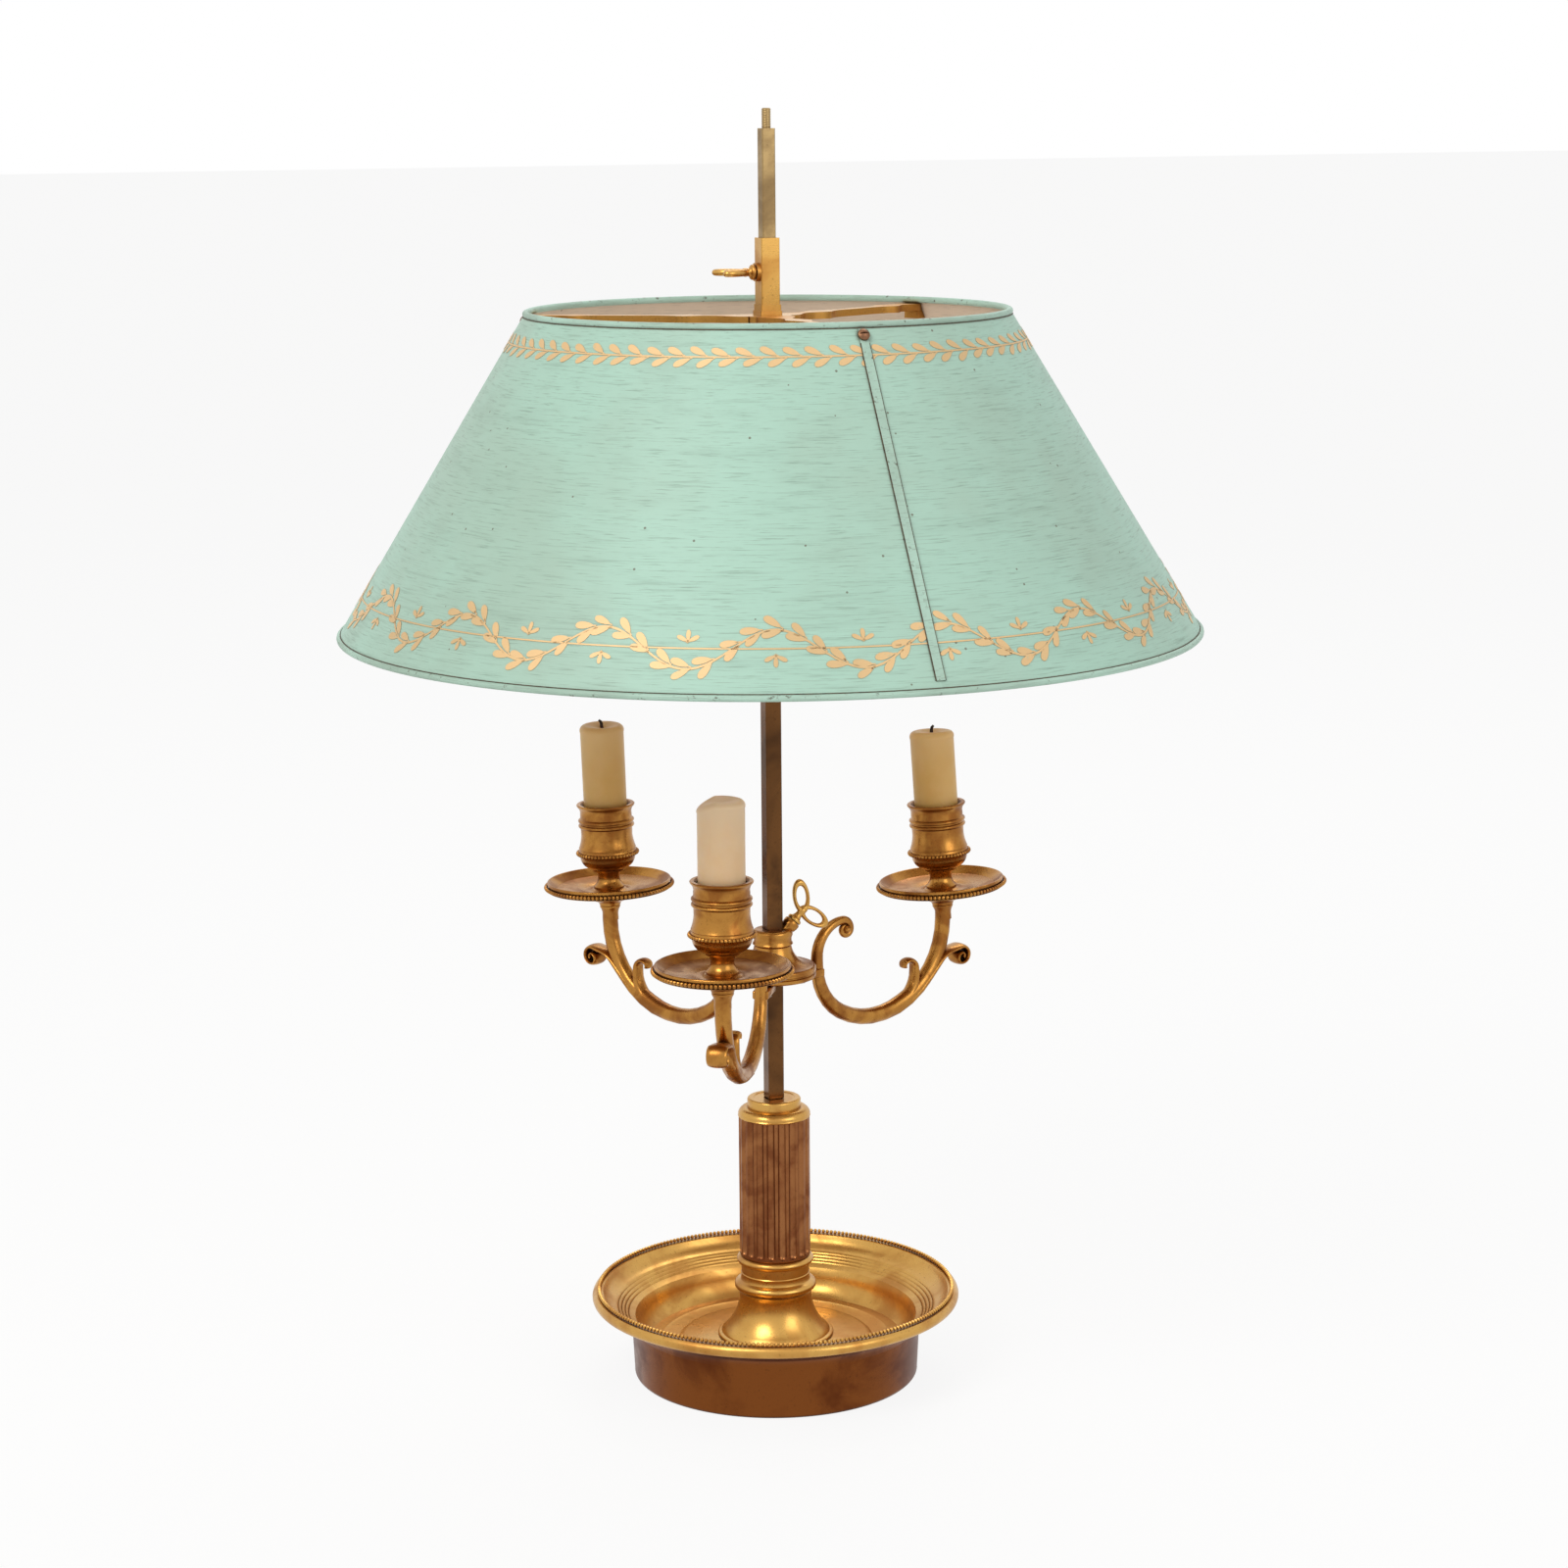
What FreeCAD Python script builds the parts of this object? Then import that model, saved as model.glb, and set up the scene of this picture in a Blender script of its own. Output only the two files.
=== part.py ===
# Candle lamp with a sliding three-arm cluster and a sliding metal shade on a square rod.
# Lengths are in millimetres. The origin is the centre of the base's underside and +Z is up.
# -Y is the side of the rod that carries the front seam of the shade.
import FreeCAD
import Part
import math
import os

V = FreeCAD.Vector

# Driving dimensions: base and column
base_radius = 92.6
drum_radius = 72.4
base_height = 44.5
column_radius = 18.0
column_top = 143.2
flute_count = 20

# Driving dimensions: rods
rod_side = 8.2
upper_rod_side = 6.8
rod_step = 450.0
rod_top = 620.5
stud_radius = 2.1
stud_length = 9.5

# Driving dimensions: candle cluster
cluster_level = 205.0
hub_radius = 21.5
arm_reach = 113.0
arm_wire = 3.2
arm_front_azimuth = -33.0
arm_right_azimuth = 108.0
arm_left_azimuth = -153.0
pan_radius = 33.5
candle_radius = 11.2
left_candle_length = 62.0
right_candle_length = 58.5
front_candle_length = 60.0
left_lean = 1.7
right_lean = 3.7
viewing_azimuth = -21.0

# Driving dimensions: shade
shade_level = 380.5
shade_height = 153.5
shade_top_radius = 116.6
shade_bottom_radius = 209.5
sheet = 0.8
sleeve_side = 9.5
sleeve_height = 37.0

# Working clearances
slide_gap = 0.15
thread_gap = 0.08

# Levels worked out from the driving dimensions
floor_level = base_height * 0.38
floor_thickness = 2.6
foot_seat = floor_level + 2.5
foot_top = foot_seat + 33.0
shaft_top = column_top - 4.9
spindle_radius = 4.0
shade_top = shade_level + shade_height
spider_thickness = 3.4
spider_top = shade_top - 2.0
spider_bottom = spider_top - spider_thickness
arm_seat = cluster_level + 20.5
pan_top = 13.2
cup_seat = 9.0


def at(radius, azimuth, height):
    """Point at a radius and height; azimuth 0 is -Y and grows towards +X."""
    a = math.radians(azimuth)
    return V(radius * math.sin(a), -radius * math.cos(a), height)


def export(shape, node):
    shape.exportStep("parts/" + node + ".step")


def edge_path(points):
    """Edges through (r, z) points; an entry (r, z, r, z) is an arc's middle and end."""
    edges = []
    last = V(points[0][0], 0, points[0][1])
    for p in points[1:]:
        end = V(p[-2], 0, p[-1])
        if len(p) == 4:
            edges.append(Part.Arc(last, V(p[0], 0, p[1]), end).toShape())
        else:
            edges.append(Part.makeLine(last, end))
        last = end
    return edges


def turned(points):
    """Solid of revolution round Z from a closed outline of (r, z) points and arcs."""
    closed = points[-1][-2:] == points[0]
    edges = edge_path(points if closed else points + [points[0]])
    face = Part.Face(Part.Wire(edges))
    return face.revolve(V(0, 0, 0), V(0, 0, 1), 360)


def square_bar(side, low, high, chamfer=0.0):
    """Upright square bar on the Z axis, with its long edges chamfered."""
    h = side / 2.0
    if chamfer == 0:
        corners = [(-h, -h), (h, -h), (h, h), (-h, h)]
    else:
        c = h - chamfer
        corners = [(-h, -c), (-c, -h), (c, -h), (h, -c), (h, c), (c, h), (-c, h), (-h, c)]
    wire = Part.makePolygon([V(x, y, low) for x, y in corners + corners[:1]])
    return Part.Face(wire).extrude(V(0, 0, high - low))


def rod(radius, start, end):
    """Round rod from one point to another."""
    return Part.makeCylinder(radius, (end - start).Length, start, end - start)


def swept_leaf(points, sizes, flatness=1.0):
    """Smooth limb through points in the XZ plane, from half-thicknesses; flatness widens it in Y."""
    curve = Part.BSplineCurve()
    curve.interpolate([V(x, 0, z) for x, z in points])
    first, last = curve.FirstParameter, curve.LastParameter
    sections = []
    count = len(sizes)
    for i, size in enumerate(sizes):
        t = first + (last - first) * i / (count - 1)
        centre = curve.value(t)
        along = curve.tangent(t)[0]
        ring = Part.Ellipse(V(0, 0, 0), size * flatness, size)
        wire = Part.Wire([ring.toShape()])
        frame = FreeCAD.Placement(centre, FreeCAD.Rotation(V(0, 1, 0), V(0, 0, 0), along, "ZXY"))
        sections.append(wire.transformGeometry(frame.toMatrix()))
    return Part.makeLoft(sections, True)


def leaning(shape, pivot, lean):
    """Shape leaned towards the left of the view, round a pivot."""
    turned_shape = shape.copy()
    a = math.radians(viewing_azimuth)
    turned_shape.rotate(pivot, V(math.sin(a), -math.cos(a), 0), lean)
    return turned_shape


def base_dish():
    """Spun dish with a moulded lip, on a hollow drum whose foot ring stands on the table."""
    lip = base_height
    wall = drum_radius - 4.6
    foot = drum_radius - 3.0
    outline = [
        (foot - 6.5, 0), (foot, 0), (foot + 1.6, 0.6, foot + 2.2, 2.4),
        (drum_radius, lip * 0.45), (drum_radius + 0.4, lip * 0.66),
        (drum_radius + 3.2, lip * 0.80, base_radius - 8.0, lip - 7.2),
        (base_radius - 2.2, lip - 6.4),
        (base_radius, lip - 3.6, base_radius - 1.6, lip - 1.0),
        (base_radius - 5.6, lip - 1.0),
        (base_radius - 6.4, lip - 2.6), (base_radius - 8.6, lip - 2.9),
        (base_radius - 11.0, lip - 4.6, base_radius - 15.6, lip - 5.2),
        (base_radius - 16.4, lip - 6.6), (wall + 2.6, lip - 6.8),
        (wall + 0.6, lip - 7.4, wall, lip - 9.6),
        (wall - 0.8, floor_level + 4.0), (wall - 2.0, floor_level + 1.0, wall - 5.0, floor_level),
        (wall * 0.66, floor_level), (wall * 0.64, floor_level + 1.2),
        (wall * 0.52, floor_level + 1.2), (wall * 0.50, foot_seat),
        (spindle_radius, foot_seat), (spindle_radius, floor_level - floor_thickness),
        (wall - 4.0, floor_level - floor_thickness), (foot - 2.6, floor_level - floor_thickness - 2.0),
        (foot - 2.6, 4.5), (foot - 6.5, 2.5)]
    return turned(outline)


def base_bead_ring():
    """Half-round wire laid on the lip; it carries the row of beads."""
    r = base_radius - 3.4
    low = base_height - 1.0
    return turned([(r - 1.7, low), (r + 1.7, low), (r, low + 1.9, r - 1.7, low)])


def column_foot():
    """Bell foot, two torus mouldings and a neck."""
    r = column_radius
    s = foot_seat
    t = foot_top
    outline = [
        (spindle_radius, s), (r + 10.8, s), (r + 11.2, s + 0.8, r + 10.4, s + 1.8),
        (r + 8.6, s + 2.6), (r + 3.2, s + 7.0, r + 0.4, s + 15.4),
        (r + 0.9, s + 16.6), (r - 0.2, s + 17.4),
        (r + 2.3, s + 20.2, r + 0.2, s + 23.0), (r + 0.2, s + 23.4),
        (r + 2.0, s + 26.0, r - 0.4, s + 28.6),
        (r - 1.8, s + 29.2), (r - 1.8, t), (spindle_radius, t)]
    return turned(outline)


def column_shaft():
    """Fluted column with a ring below and a rounded shoulder above."""
    r = column_radius
    low = foot_top
    high = shaft_top
    body = turned([
        (spindle_radius, low), (r - 1.4, low), (r + 0.6, low + 3.1, r - 0.9, low + 6.3),
        (r, low + 7.2), (r, high - 9.0), (r + 0.15, high - 7.0), (r + 0.1, high - 5.6),
        (r - 1.2, high - 2.6, r - 4.4, high), (spindle_radius, high)])
    flute_radius = math.pi * r / flute_count * 0.72
    bottom = low + 9.6
    top = high - 10.2
    flute = Part.makeCylinder(flute_radius, top - bottom, V(0, -r - 0.5, bottom))
    flute = flute.fuse(Part.makeSphere(flute_radius, V(0, -r - 0.5, bottom)))
    flute = flute.fuse(Part.makeSphere(flute_radius, V(0, -r - 0.5, top))).removeSplitter()
    cutters = []
    for i in range(flute_count):
        cutter = flute.copy()
        cutter.rotate(V(0, 0, 0), V(0, 0, 1), 360.0 * (i + 0.5) / flute_count)
        cutters.append(cutter)
    return body.cut(Part.makeCompound(cutters))


def column_cap():
    """Turned collar between the shoulder and the square rod."""
    r = column_radius - 4.7
    return turned([
        (spindle_radius, shaft_top), (r, shaft_top), (r + 0.1, column_top - 1.4),
        (r - 0.3, column_top - 0.3, r - 1.5, column_top), (spindle_radius, column_top)])


def main_rod():
    """Square rod with a round spindle through the column, and a socket for the upper rod."""
    bar = square_bar(rod_side, column_top, rod_step, 0.7)
    spindle = Part.makeCylinder(spindle_radius, column_top - 3.5, V(0, 0, 3.5))
    socket = Part.makeCylinder(2.4, 16.0, V(0, 0, rod_step - 16.0))
    return bar.fuse(spindle).removeSplitter().cut(socket)


def base_washer():
    high = floor_level - floor_thickness
    ring = Part.makeCylinder(11.0, 1.4, V(0, 0, high - 1.4))
    return ring.cut(Part.makeCylinder(spindle_radius, 3.0, V(0, 0, high - 2.0)))


def base_nut():
    """Hexagon nut that clamps the column to the dish from below."""
    high = floor_level - floor_thickness - 1.4
    across = 7.5
    corners = [at(across, 60.0 * i, high - 5.5) for i in range(7)]
    nut = Part.Face(Part.makePolygon(corners)).extrude(V(0, 0, 5.5))
    return nut.cut(Part.makeCylinder(spindle_radius, 8.0, V(0, 0, high - 7.0)))


def upper_rod():
    """Thinner square rod, with its tenon below and the bare finial stud above."""
    bar = square_bar(upper_rod_side, rod_step, rod_top, 0.6)
    tenon = Part.makeCylinder(2.4, 15.0, V(0, 0, rod_step - 15.0))
    stud = Part.makeCylinder(stud_radius, stud_length, V(0, 0, rod_top))
    tip = [e for e in stud.Edges if abs(e.CenterOfMass.z - rod_top - stud_length) < 0.01]
    stud = stud.makeChamfer(0.4, tip)
    return bar.fuse(tenon).fuse(stud).removeSplitter()


def key_axis():
    """Start, on the rod's axis, and direction of the cluster's thumb screw."""
    return V(0, 0, cluster_level + 16.5), V(1, 0, 1).normalize()


def cluster_hub():
    """Sliding hub: disc for the arms, hollow bell and collar with the screw's boss."""
    low = cluster_level
    collar = 9.9
    body = turned([
        (0, low), (hub_radius - 1.2, low), (hub_radius, low + 0.8), (hub_radius, low + 2.4),
        (hub_radius - 0.8, low + 3.0), (hub_radius, low + 3.6), (hub_radius, low + 5.2),
        (hub_radius - 1.0, low + 6.0), (hub_radius - 3.4, low + 6.2),
        (collar + 2.6, low + 9.6, collar - 0.6, low + 16.6),
        (collar, low + 17.4), (collar, low + 23.4), (collar - 1.2, low + 24.6), (0, low + 24.6)])
    start, way = key_axis()
    body = body.fuse(rod(4.1, start + way * 8.5, start + way * 15.5))
    body = body.cut(square_bar(rod_side + 2 * slide_gap, low - 1, low + 40, 0.5))
    return body.cut(rod(2.0 + thread_gap, start, start + way * 20))


def loop(half_length, half_width, wire, centre, along, normal):
    """Closed long-round loop of round wire."""
    h = half_length - half_width
    b = half_width
    corners = [V(-h, -b, 0), V(h, -b, 0), V(h, b, 0), V(-h, b, 0)]
    edges = [
        Part.makeLine(corners[0], corners[1]),
        Part.Arc(corners[1], V(h + b, 0, 0), corners[2]).toShape(),
        Part.makeLine(corners[2], corners[3]),
        Part.Arc(corners[3], V(-h - b, 0, 0), corners[0]).toShape()]
    section = Part.Wire([Part.Circle(corners[0], V(1, 0, 0), wire).toShape()])
    ring = Part.Wire(edges).makePipeShell([section], True, False)
    ring.Placement = FreeCAD.Placement(
        centre, FreeCAD.Rotation(along, V(0, 0, 0), normal, "ZXY"))
    return ring


def thumb_key(start, way, side, shank_from, shoulder, shank):
    """Thumb screw with a shouldered stem and a bow of two open loops."""
    normal = way.cross(side).normalize()
    body = rod(shank, start + way * shank_from, start + way * (shoulder + 0.5))
    body = body.fuse(rod(3.6, start + way * shoulder, start + way * (shoulder + 1.6)))
    body = body.fuse(Part.makeCone(2.6, 1.7, 3.6, start + way * (shoulder + 1.6), way))
    body = body.fuse(Part.makeSphere(2.3, start + way * (shoulder + 5.6)))
    middle = start + way * (shoulder + 9.8)
    loops = []
    for hand in (-1, 1):
        along = (way * 0.80 + side * 0.60 * hand).normalize()
        loops.append(loop(6.2, 3.6, 1.25, middle + side * (4.4 * hand), along, normal))
    return body.fuse(loops)


def scroll_path():
    """C-scroll's centre line in the XZ plane: arcs that run into each other, in steps of
    (radius, turn in degrees) or (length,), from the volute to the pan's seat."""
    k = arm_reach / 113.0
    steps = ((5.0 * k, 90.0), (17.0 * k, 90.0), (4.0 * k,), (30.0 * k, 60.0), (45.0 * k, 55.0),
             (4.2 * k,), (42.0 * k, 65.0))
    point = V(hub_radius + 7.0 + 22.0 * k, 0, cluster_level + 17.0 * k)
    heading = 90.0
    edges = []
    for step in steps:
        h = math.radians(heading)
        ahead = V(math.cos(h), 0, math.sin(h))
        if len(step) == 1:
            end = point + ahead * step[0]
            edges.append(Part.makeLine(point, end))
        else:
            radius, turn = step
            centre = point + V(-math.sin(h), 0, math.cos(h)) * radius
            ends = []
            for part_turn in (turn / 2.0, turn):
                g = math.radians(heading + part_turn)
                ends.append(centre + V(math.sin(g), 0, -math.cos(g)) * radius)
            end = ends[1]
            edges.append(Part.Arc(point, ends[0], end).toShape())
            heading += turn
        point = end
    return edges, point


def arm(azimuth, lean):
    """C-scroll branch: volute, inner and outer leaves, lug under the hub, seat for the pan."""
    z = cluster_level
    r = arm_reach
    w = arm_wire
    edges, end = scroll_path()
    start = edges[0].Vertexes[0].Point
    section = Part.Wire([Part.Circle(start, V(0, 0, 1), w).toShape()])
    body = Part.Wire(edges).makePipeShell([section], True, False)
    eye = Part.makeSphere(w * 1.2, start)
    riser = Part.makeCylinder(w, z + 16.5 - end.z, end)
    body = body.multiFuse([eye, riser], 0.001)
    inner = swept_leaf(
        [(r * 0.56, z - 31.0), (r * 0.68, z - 27.0), (r * 0.755, z - 15.0), (r * 0.775, z - 5.0)],
        [w * 0.7, w * 0.9, w * 0.85, w * 0.62, w * 0.3], 1.35)
    outer = swept_leaf(
        [(r * 0.80, z - 24.5), (r * 0.95, z - 20.0), (r * 1.09, z - 13.0), (r * 1.145, z - 6.0),
         (r * 1.11, z - 2.0), (r * 1.08, z - 4.6)],
        [w * 0.8, w * 0.95, w * 0.95, w * 0.85, w * 0.75, w * 0.7, w * 0.62], 1.35)
    body = body.multiFuse([inner, outer], 0.001)
    lug_low = z - 4.2
    lug = Part.makeBox(hub_radius - 3.0, 8.0, 4.2, V(12.0, -4.0, lug_low))
    lug = lug.cut(Part.makeCylinder(1.6, 10, V(17.0, 0, lug_low - 2)))
    body = body.fuse(lug)
    body = body.cut(Part.makeCylinder(hub_radius + 0.01, 8.0, V(0, 0, z)))
    body.rotate(V(0, 0, 0), V(0, 0, 1), azimuth - 90)
    pivot = at(arm_reach, azimuth, arm_seat)
    collar = Part.makeCylinder(4.7, 5.0, pivot - V(0, 0, 5.0))
    body = body.fuse(leaning(collar, pivot, lean))
    above = Part.makeCylinder(9.0, 12.0, pivot)
    body = body.cut(leaning(above, pivot, lean))
    socket = Part.makeCylinder(2.5, 9.0, pivot - V(0, 0, 6.0))
    return body.cut(leaning(socket, pivot, lean)).removeSplitter()


def place_branch(shape, azimuth, lean):
    """Shape built on the Z axis from height 0, moved onto the end of an arm."""
    pivot = at(arm_reach, azimuth, arm_seat)
    moved = shape.copy()
    moved.translate(pivot)
    return leaning(moved, pivot, lean)


def drip_pan():
    """Shallow dished pan with a thick rim, on a small boss."""
    r = pan_radius
    return turned([
        (2.5, 0), (5.4, 0), (5.9, 1.4), (8.4, 2.6, 13.0, 4.4),
        (r * 0.64, 6.9, r - 2.2, 8.7), (r - 0.9, 9.1), (r, 10.4), (r, 12.2),
        (r - 0.8, 13.2, r - 2.0, pan_top - 0.4), (r - 2.8, pan_top - 1.2),
        (r * 0.80, 9.5, r * 0.60, 8.8), (9.2, 8.2), (8.0, cup_seat), (2.5, cup_seat)])


def candle_cup():
    """Urn-shaped socket with a plain bore, and a tenon through the pan into the arm."""
    bore = candle_radius + 0.8
    s = cup_seat
    return turned([
        (0, -5.5), (2.5, -5.5), (2.5, s), (7.8, s), (7.9, s + 1.0), (6.9, s + 2.0),
        (5.6, s + 5.0, 6.2, s + 8.6), (7.4, s + 9.4), (7.4, s + 10.6),
        (14.0, s + 13.4, 16.0, s + 19.6), (15.4, s + 22.2), (bore + 1.9, s + 24.4),
        (bore + 1.3, s + 28.6), (bore + 1.9, s + 32.4), (bore + 2.3, s + 32.8),
        (bore + 2.3, s + 36.8), (bore + 1.5, s + 37.4), (bore + 1.6, s + 41.6),
        (bore + 3.0, s + 43.0), (bore + 2.8, s + 44.2), (bore, s + 44.4),
        (bore, s + 23.4), (0, s + 23.4)])


def candle(length):
    """Plain candle with a softened shoulder and a shallow melted top."""
    r = candle_radius
    low = cup_seat + 23.4
    top = low + length
    return turned([
        (0, low), (r - 0.6, low), (r, low + 0.8), (r, top - 3.2),
        (r - 0.7, top - 0.9, r - 3.2, top), (0, top - 1.2)])


def front_candle():
    """Candle burnt down on a slant."""
    r = candle_radius
    low = cup_seat + 23.4
    top = low + front_candle_length
    body = turned([(0, low), (r - 0.6, low), (r, low + 0.8), (r, top), (0, top)])
    knife = Part.makeBox(6 * r, 6 * r, 20, V(-3 * r, -3 * r, top - 1.5))
    knife.rotate(V(0, 0, top - 1.5), V(0, 1, 0), -9.0)
    knife.rotate(V(0, 0, 0), V(0, 0, 1), viewing_azimuth)
    return body.cut(knife)


def wick(length, lean_way):
    """Short bent wick standing in the melted top."""
    foot = V(0, 0, cup_seat + 23.4 + length - 1.2)
    knee = foot + V(0.3 * lean_way, 0, 2.2)
    tip = foot + V(1.5 * lean_way, 0.4, 3.8)
    body = rod(0.8, foot, knee).fuse(Part.makeSphere(0.8, knee))
    return body.fuse(Part.makeCone(0.8, 0.5, (tip - knee).Length, knee, tip - knee)).removeSplitter()


def arm_screws():
    """Three screws that hold the arms' lugs to the hub from below."""
    low = cluster_level - 4.2
    shapes = []
    for azimuth in (arm_front_azimuth, arm_right_azimuth, arm_left_azimuth):
        head = Part.makeCylinder(2.9, 1.6, at(17.0, azimuth, low - 1.6))
        shank = Part.makeCylinder(1.6, 4.2 + 0.0, at(17.0, azimuth, low))
        slot = Part.makeBox(7.0, 0.7, 0.8, V(-3.5, -0.35, 0))
        slot.rotate(V(0, 0, 0), V(0, 0, 1), azimuth)
        slot.translate(at(17.0, azimuth, low - 1.6))
        shapes.append(head.fuse(shank).cut(slot).removeSplitter())
    return Part.makeCompound(shapes)


def cone_radius(height):
    """Outer radius of the shade's sheet at a height."""
    share = (shade_top - height) / shade_height
    return shade_top_radius + share * (shade_bottom_radius - shade_top_radius)


def cone_solid(inset, low, high):
    """Solid frustum whose side lies a horizontal inset inside the sheet's outer face."""
    return Part.makeCone(cone_radius(low) - inset, cone_radius(high) - inset, high - low,
                         V(0, 0, low))


top_roll = 1.6
bottom_roll = 1.5


def shade_cone():
    """Plain frustum of thin sheet between the two rolled rims."""
    run = sheet / math.cos(math.atan2(shade_bottom_radius - shade_top_radius, shade_height))
    outer = cone_solid(0, shade_level, shade_top)
    inner = cone_solid(run, shade_level - 1, shade_top + 1)
    body = outer.cut(inner)
    body = body.cut(rim(shade_top_radius, shade_top, top_roll))
    body = body.cut(rim(shade_bottom_radius, shade_level, bottom_roll))
    return body.cut(screw_holes())


def rim(radius, height, roll):
    """Rolled edge of the sheet."""
    return Part.makeTorus(radius - sheet / 2, roll, V(0, 0, height))


def slant():
    """Unit vector down the outside of the shade on the -Y side."""
    return (V(0, -shade_bottom_radius, shade_level) - V(0, -shade_top_radius, shade_top)).normalize()


def seam(azimuth):
    """Narrow lapped strip down the slant of the shade."""
    down = slant()
    outward = V(0, down.z, -down.y).normalize() * -1
    if outward.y > 0:
        outward = outward * -1
    start = V(0, -shade_top_radius, shade_top) + down * 2.2
    end = V(0, -shade_bottom_radius, shade_level) - down * 2.0
    half = 2.4
    corners = [start - outward * 1.2, end - outward * 1.2, end + outward * 0.7,
               start + outward * 0.7]
    wire = Part.makePolygon([c + V(-half, 0, 0) for c in corners + corners[:1]])
    strip = Part.Face(wire).extrude(V(2 * half, 0, 0))
    strip = strip.cut(cone_solid(0, shade_level - 2, shade_top + 2))
    strip = strip.cut(rim(shade_top_radius, shade_top, top_roll))
    strip = strip.cut(rim(shade_bottom_radius, shade_level, bottom_roll))
    strip.rotate(V(0, 0, 0), V(0, 0, 1), azimuth)
    return strip.cut(screw_holes())


def screw_line(azimuth):
    """Outer point and inward direction of a spider screw."""
    level = spider_bottom + spider_thickness * 0.2
    point = at(cone_radius(level), azimuth, level)
    down = slant()
    inward = V(0, -down.z, down.y).normalize()
    if inward.y < 0:
        inward = inward * -1
    turn = FreeCAD.Rotation(V(0, 0, 1), azimuth)
    return point, turn.multVec(inward)


spider_azimuths = (0.0, 120.0, -120.0)


def screw_holes():
    holes = []
    for azimuth in spider_azimuths:
        point, inward = screw_line(azimuth)
        holes.append(rod(1.5, point - inward * 4, point + inward * 4.2))
    return Part.makeCompound(holes)


def spider_screws():
    """Slotted round-head screws through the sheet into the ends of the spider."""
    shapes = []
    for azimuth in spider_azimuths:
        point, inward = screw_line(azimuth)
        lift = 0.7 if azimuth == 0 else 0.0
        seat = point - inward * lift
        shank = rod(1.5, seat - inward * 0.4, point + inward * 4.2)
        head = Part.makeCylinder(2.8, 1.0, seat - inward * 1.0, inward)
        dome = Part.makeSphere(3.6, seat + inward * 1.26)
        head = head.fuse(dome.common(Part.makeCylinder(2.8, 1.6, seat - inward * 2.5, inward)))
        slot = Part.makeBox(8.0, 0.8, 0.9, V(-4.0, -0.4, 0))
        way = FreeCAD.Rotation(V(0, 0, 1), inward)
        slot.Placement = FreeCAD.Placement(seat - inward * 2.4, way)
        screw = head.fuse(shank).cut(slot)
        trim = cone_solid(0, shade_level, shade_top).fuse(seam_pad(azimuth))
        outside = screw.cut(trim)
        inside = shank.common(trim)
        shapes.append(outside.fuse(inside).removeSplitter())
    return Part.makeCompound(shapes)


def seam_pad(azimuth):
    """Seam strip under the front screw, or nothing to speak of elsewhere."""
    if azimuth == 0:
        return seam(0).fuse(rod(1.4, *[screw_line(0)[0] + screw_line(0)[1] * s for s in (-0.6, 1)]))
    return Part.makeSphere(0.1, V(0, 0, shade_level + 5))


def spider_arm():
    """One scalloped arm of the spider, towards -Y, with its slanted end tab."""
    reach = cone_radius(spider_bottom) - sheet * 1.4
    half = [(8.0, 9.0), (0.16, 6.2), (0.20, 3.6), (0.27, 3.4), (0.34, 6.4), (0.40, 3.8),
            (0.55, 3.0), (0.70, 3.0), (0.76, 4.6), (0.80, 6.6), (0.86, 3.6), (0.92, 4.6), (1.0, 4.2)]
    right = [V(w, -(reach * s if s <= 1 else s), spider_bottom) for s, w in half]
    left = [V(-p.x, p.y, p.z) for p in reversed(right)]
    edges = []
    for side in (right, left):
        curve = Part.BSplineCurve()
        curve.interpolate(side)
        edges.append(curve.toShape())
    edges.append(Part.makeLine(right[-1], left[0]))
    edges.append(Part.makeLine(left[-1], right[0]))
    plate = Part.Face(Part.Wire(Part.__sortEdges__(edges))).extrude(V(0, 0, spider_thickness))
    tab = Part.makeBox(8.4, 6.5, spider_thickness + 4.0, V(-4.2, -reach - 3, spider_bottom - 4.0))
    return plate.fuse(tab)


def shade_spider():
    """Three-armed scalloped plate that carries the shade from its sleeve."""
    centre = Part.makeCylinder(11.5, spider_thickness, V(0, 0, spider_bottom))
    arms = []
    for azimuth in spider_azimuths:
        shape = spider_arm()
        shape.rotate(V(0, 0, 0), V(0, 0, 1), azimuth)
        arms.append(shape)
    body = centre.fuse(arms)
    run = sheet / math.cos(math.atan2(shade_bottom_radius - shade_top_radius, shade_height))
    body = body.common(cone_solid(run, spider_bottom - 8, spider_top + 0.5))
    body = body.cut(square_bar(upper_rod_side + 2 * slide_gap, spider_bottom - 1, spider_top + 1, 0.4))
    return body.cut(screw_holes()).removeSplitter()


def shade_key_axis():
    return V(0, 0, spider_top + sleeve_height * 0.56), V(-1, 0, 0)


def shade_sleeve():
    """Square sleeve with a flared foot, and a round boss for its thumb screw."""
    low = spider_top
    body = square_bar(sleeve_side, low, low + sleeve_height, 0.5)
    body = body.fuse(square_bar(sleeve_side + 1.6, low, low + 2.4, 0.4))
    body = body.fuse(square_bar(sleeve_side + 0.8, low + 2.4, low + 5.4, 0.4))
    start, way = shade_key_axis()
    body = body.fuse(rod(4.4, start + way * (sleeve_side / 2 - 0.5), start + way * (sleeve_side / 2 + 1.8)))
    body = body.cut(square_bar(upper_rod_side + 2 * slide_gap, low - 1, low + sleeve_height + 1, 0.4))
    return body.cut(rod(2.0 + thread_gap, start, start + way * 12)).removeSplitter()


os.makedirs("parts", exist_ok=True)

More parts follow.
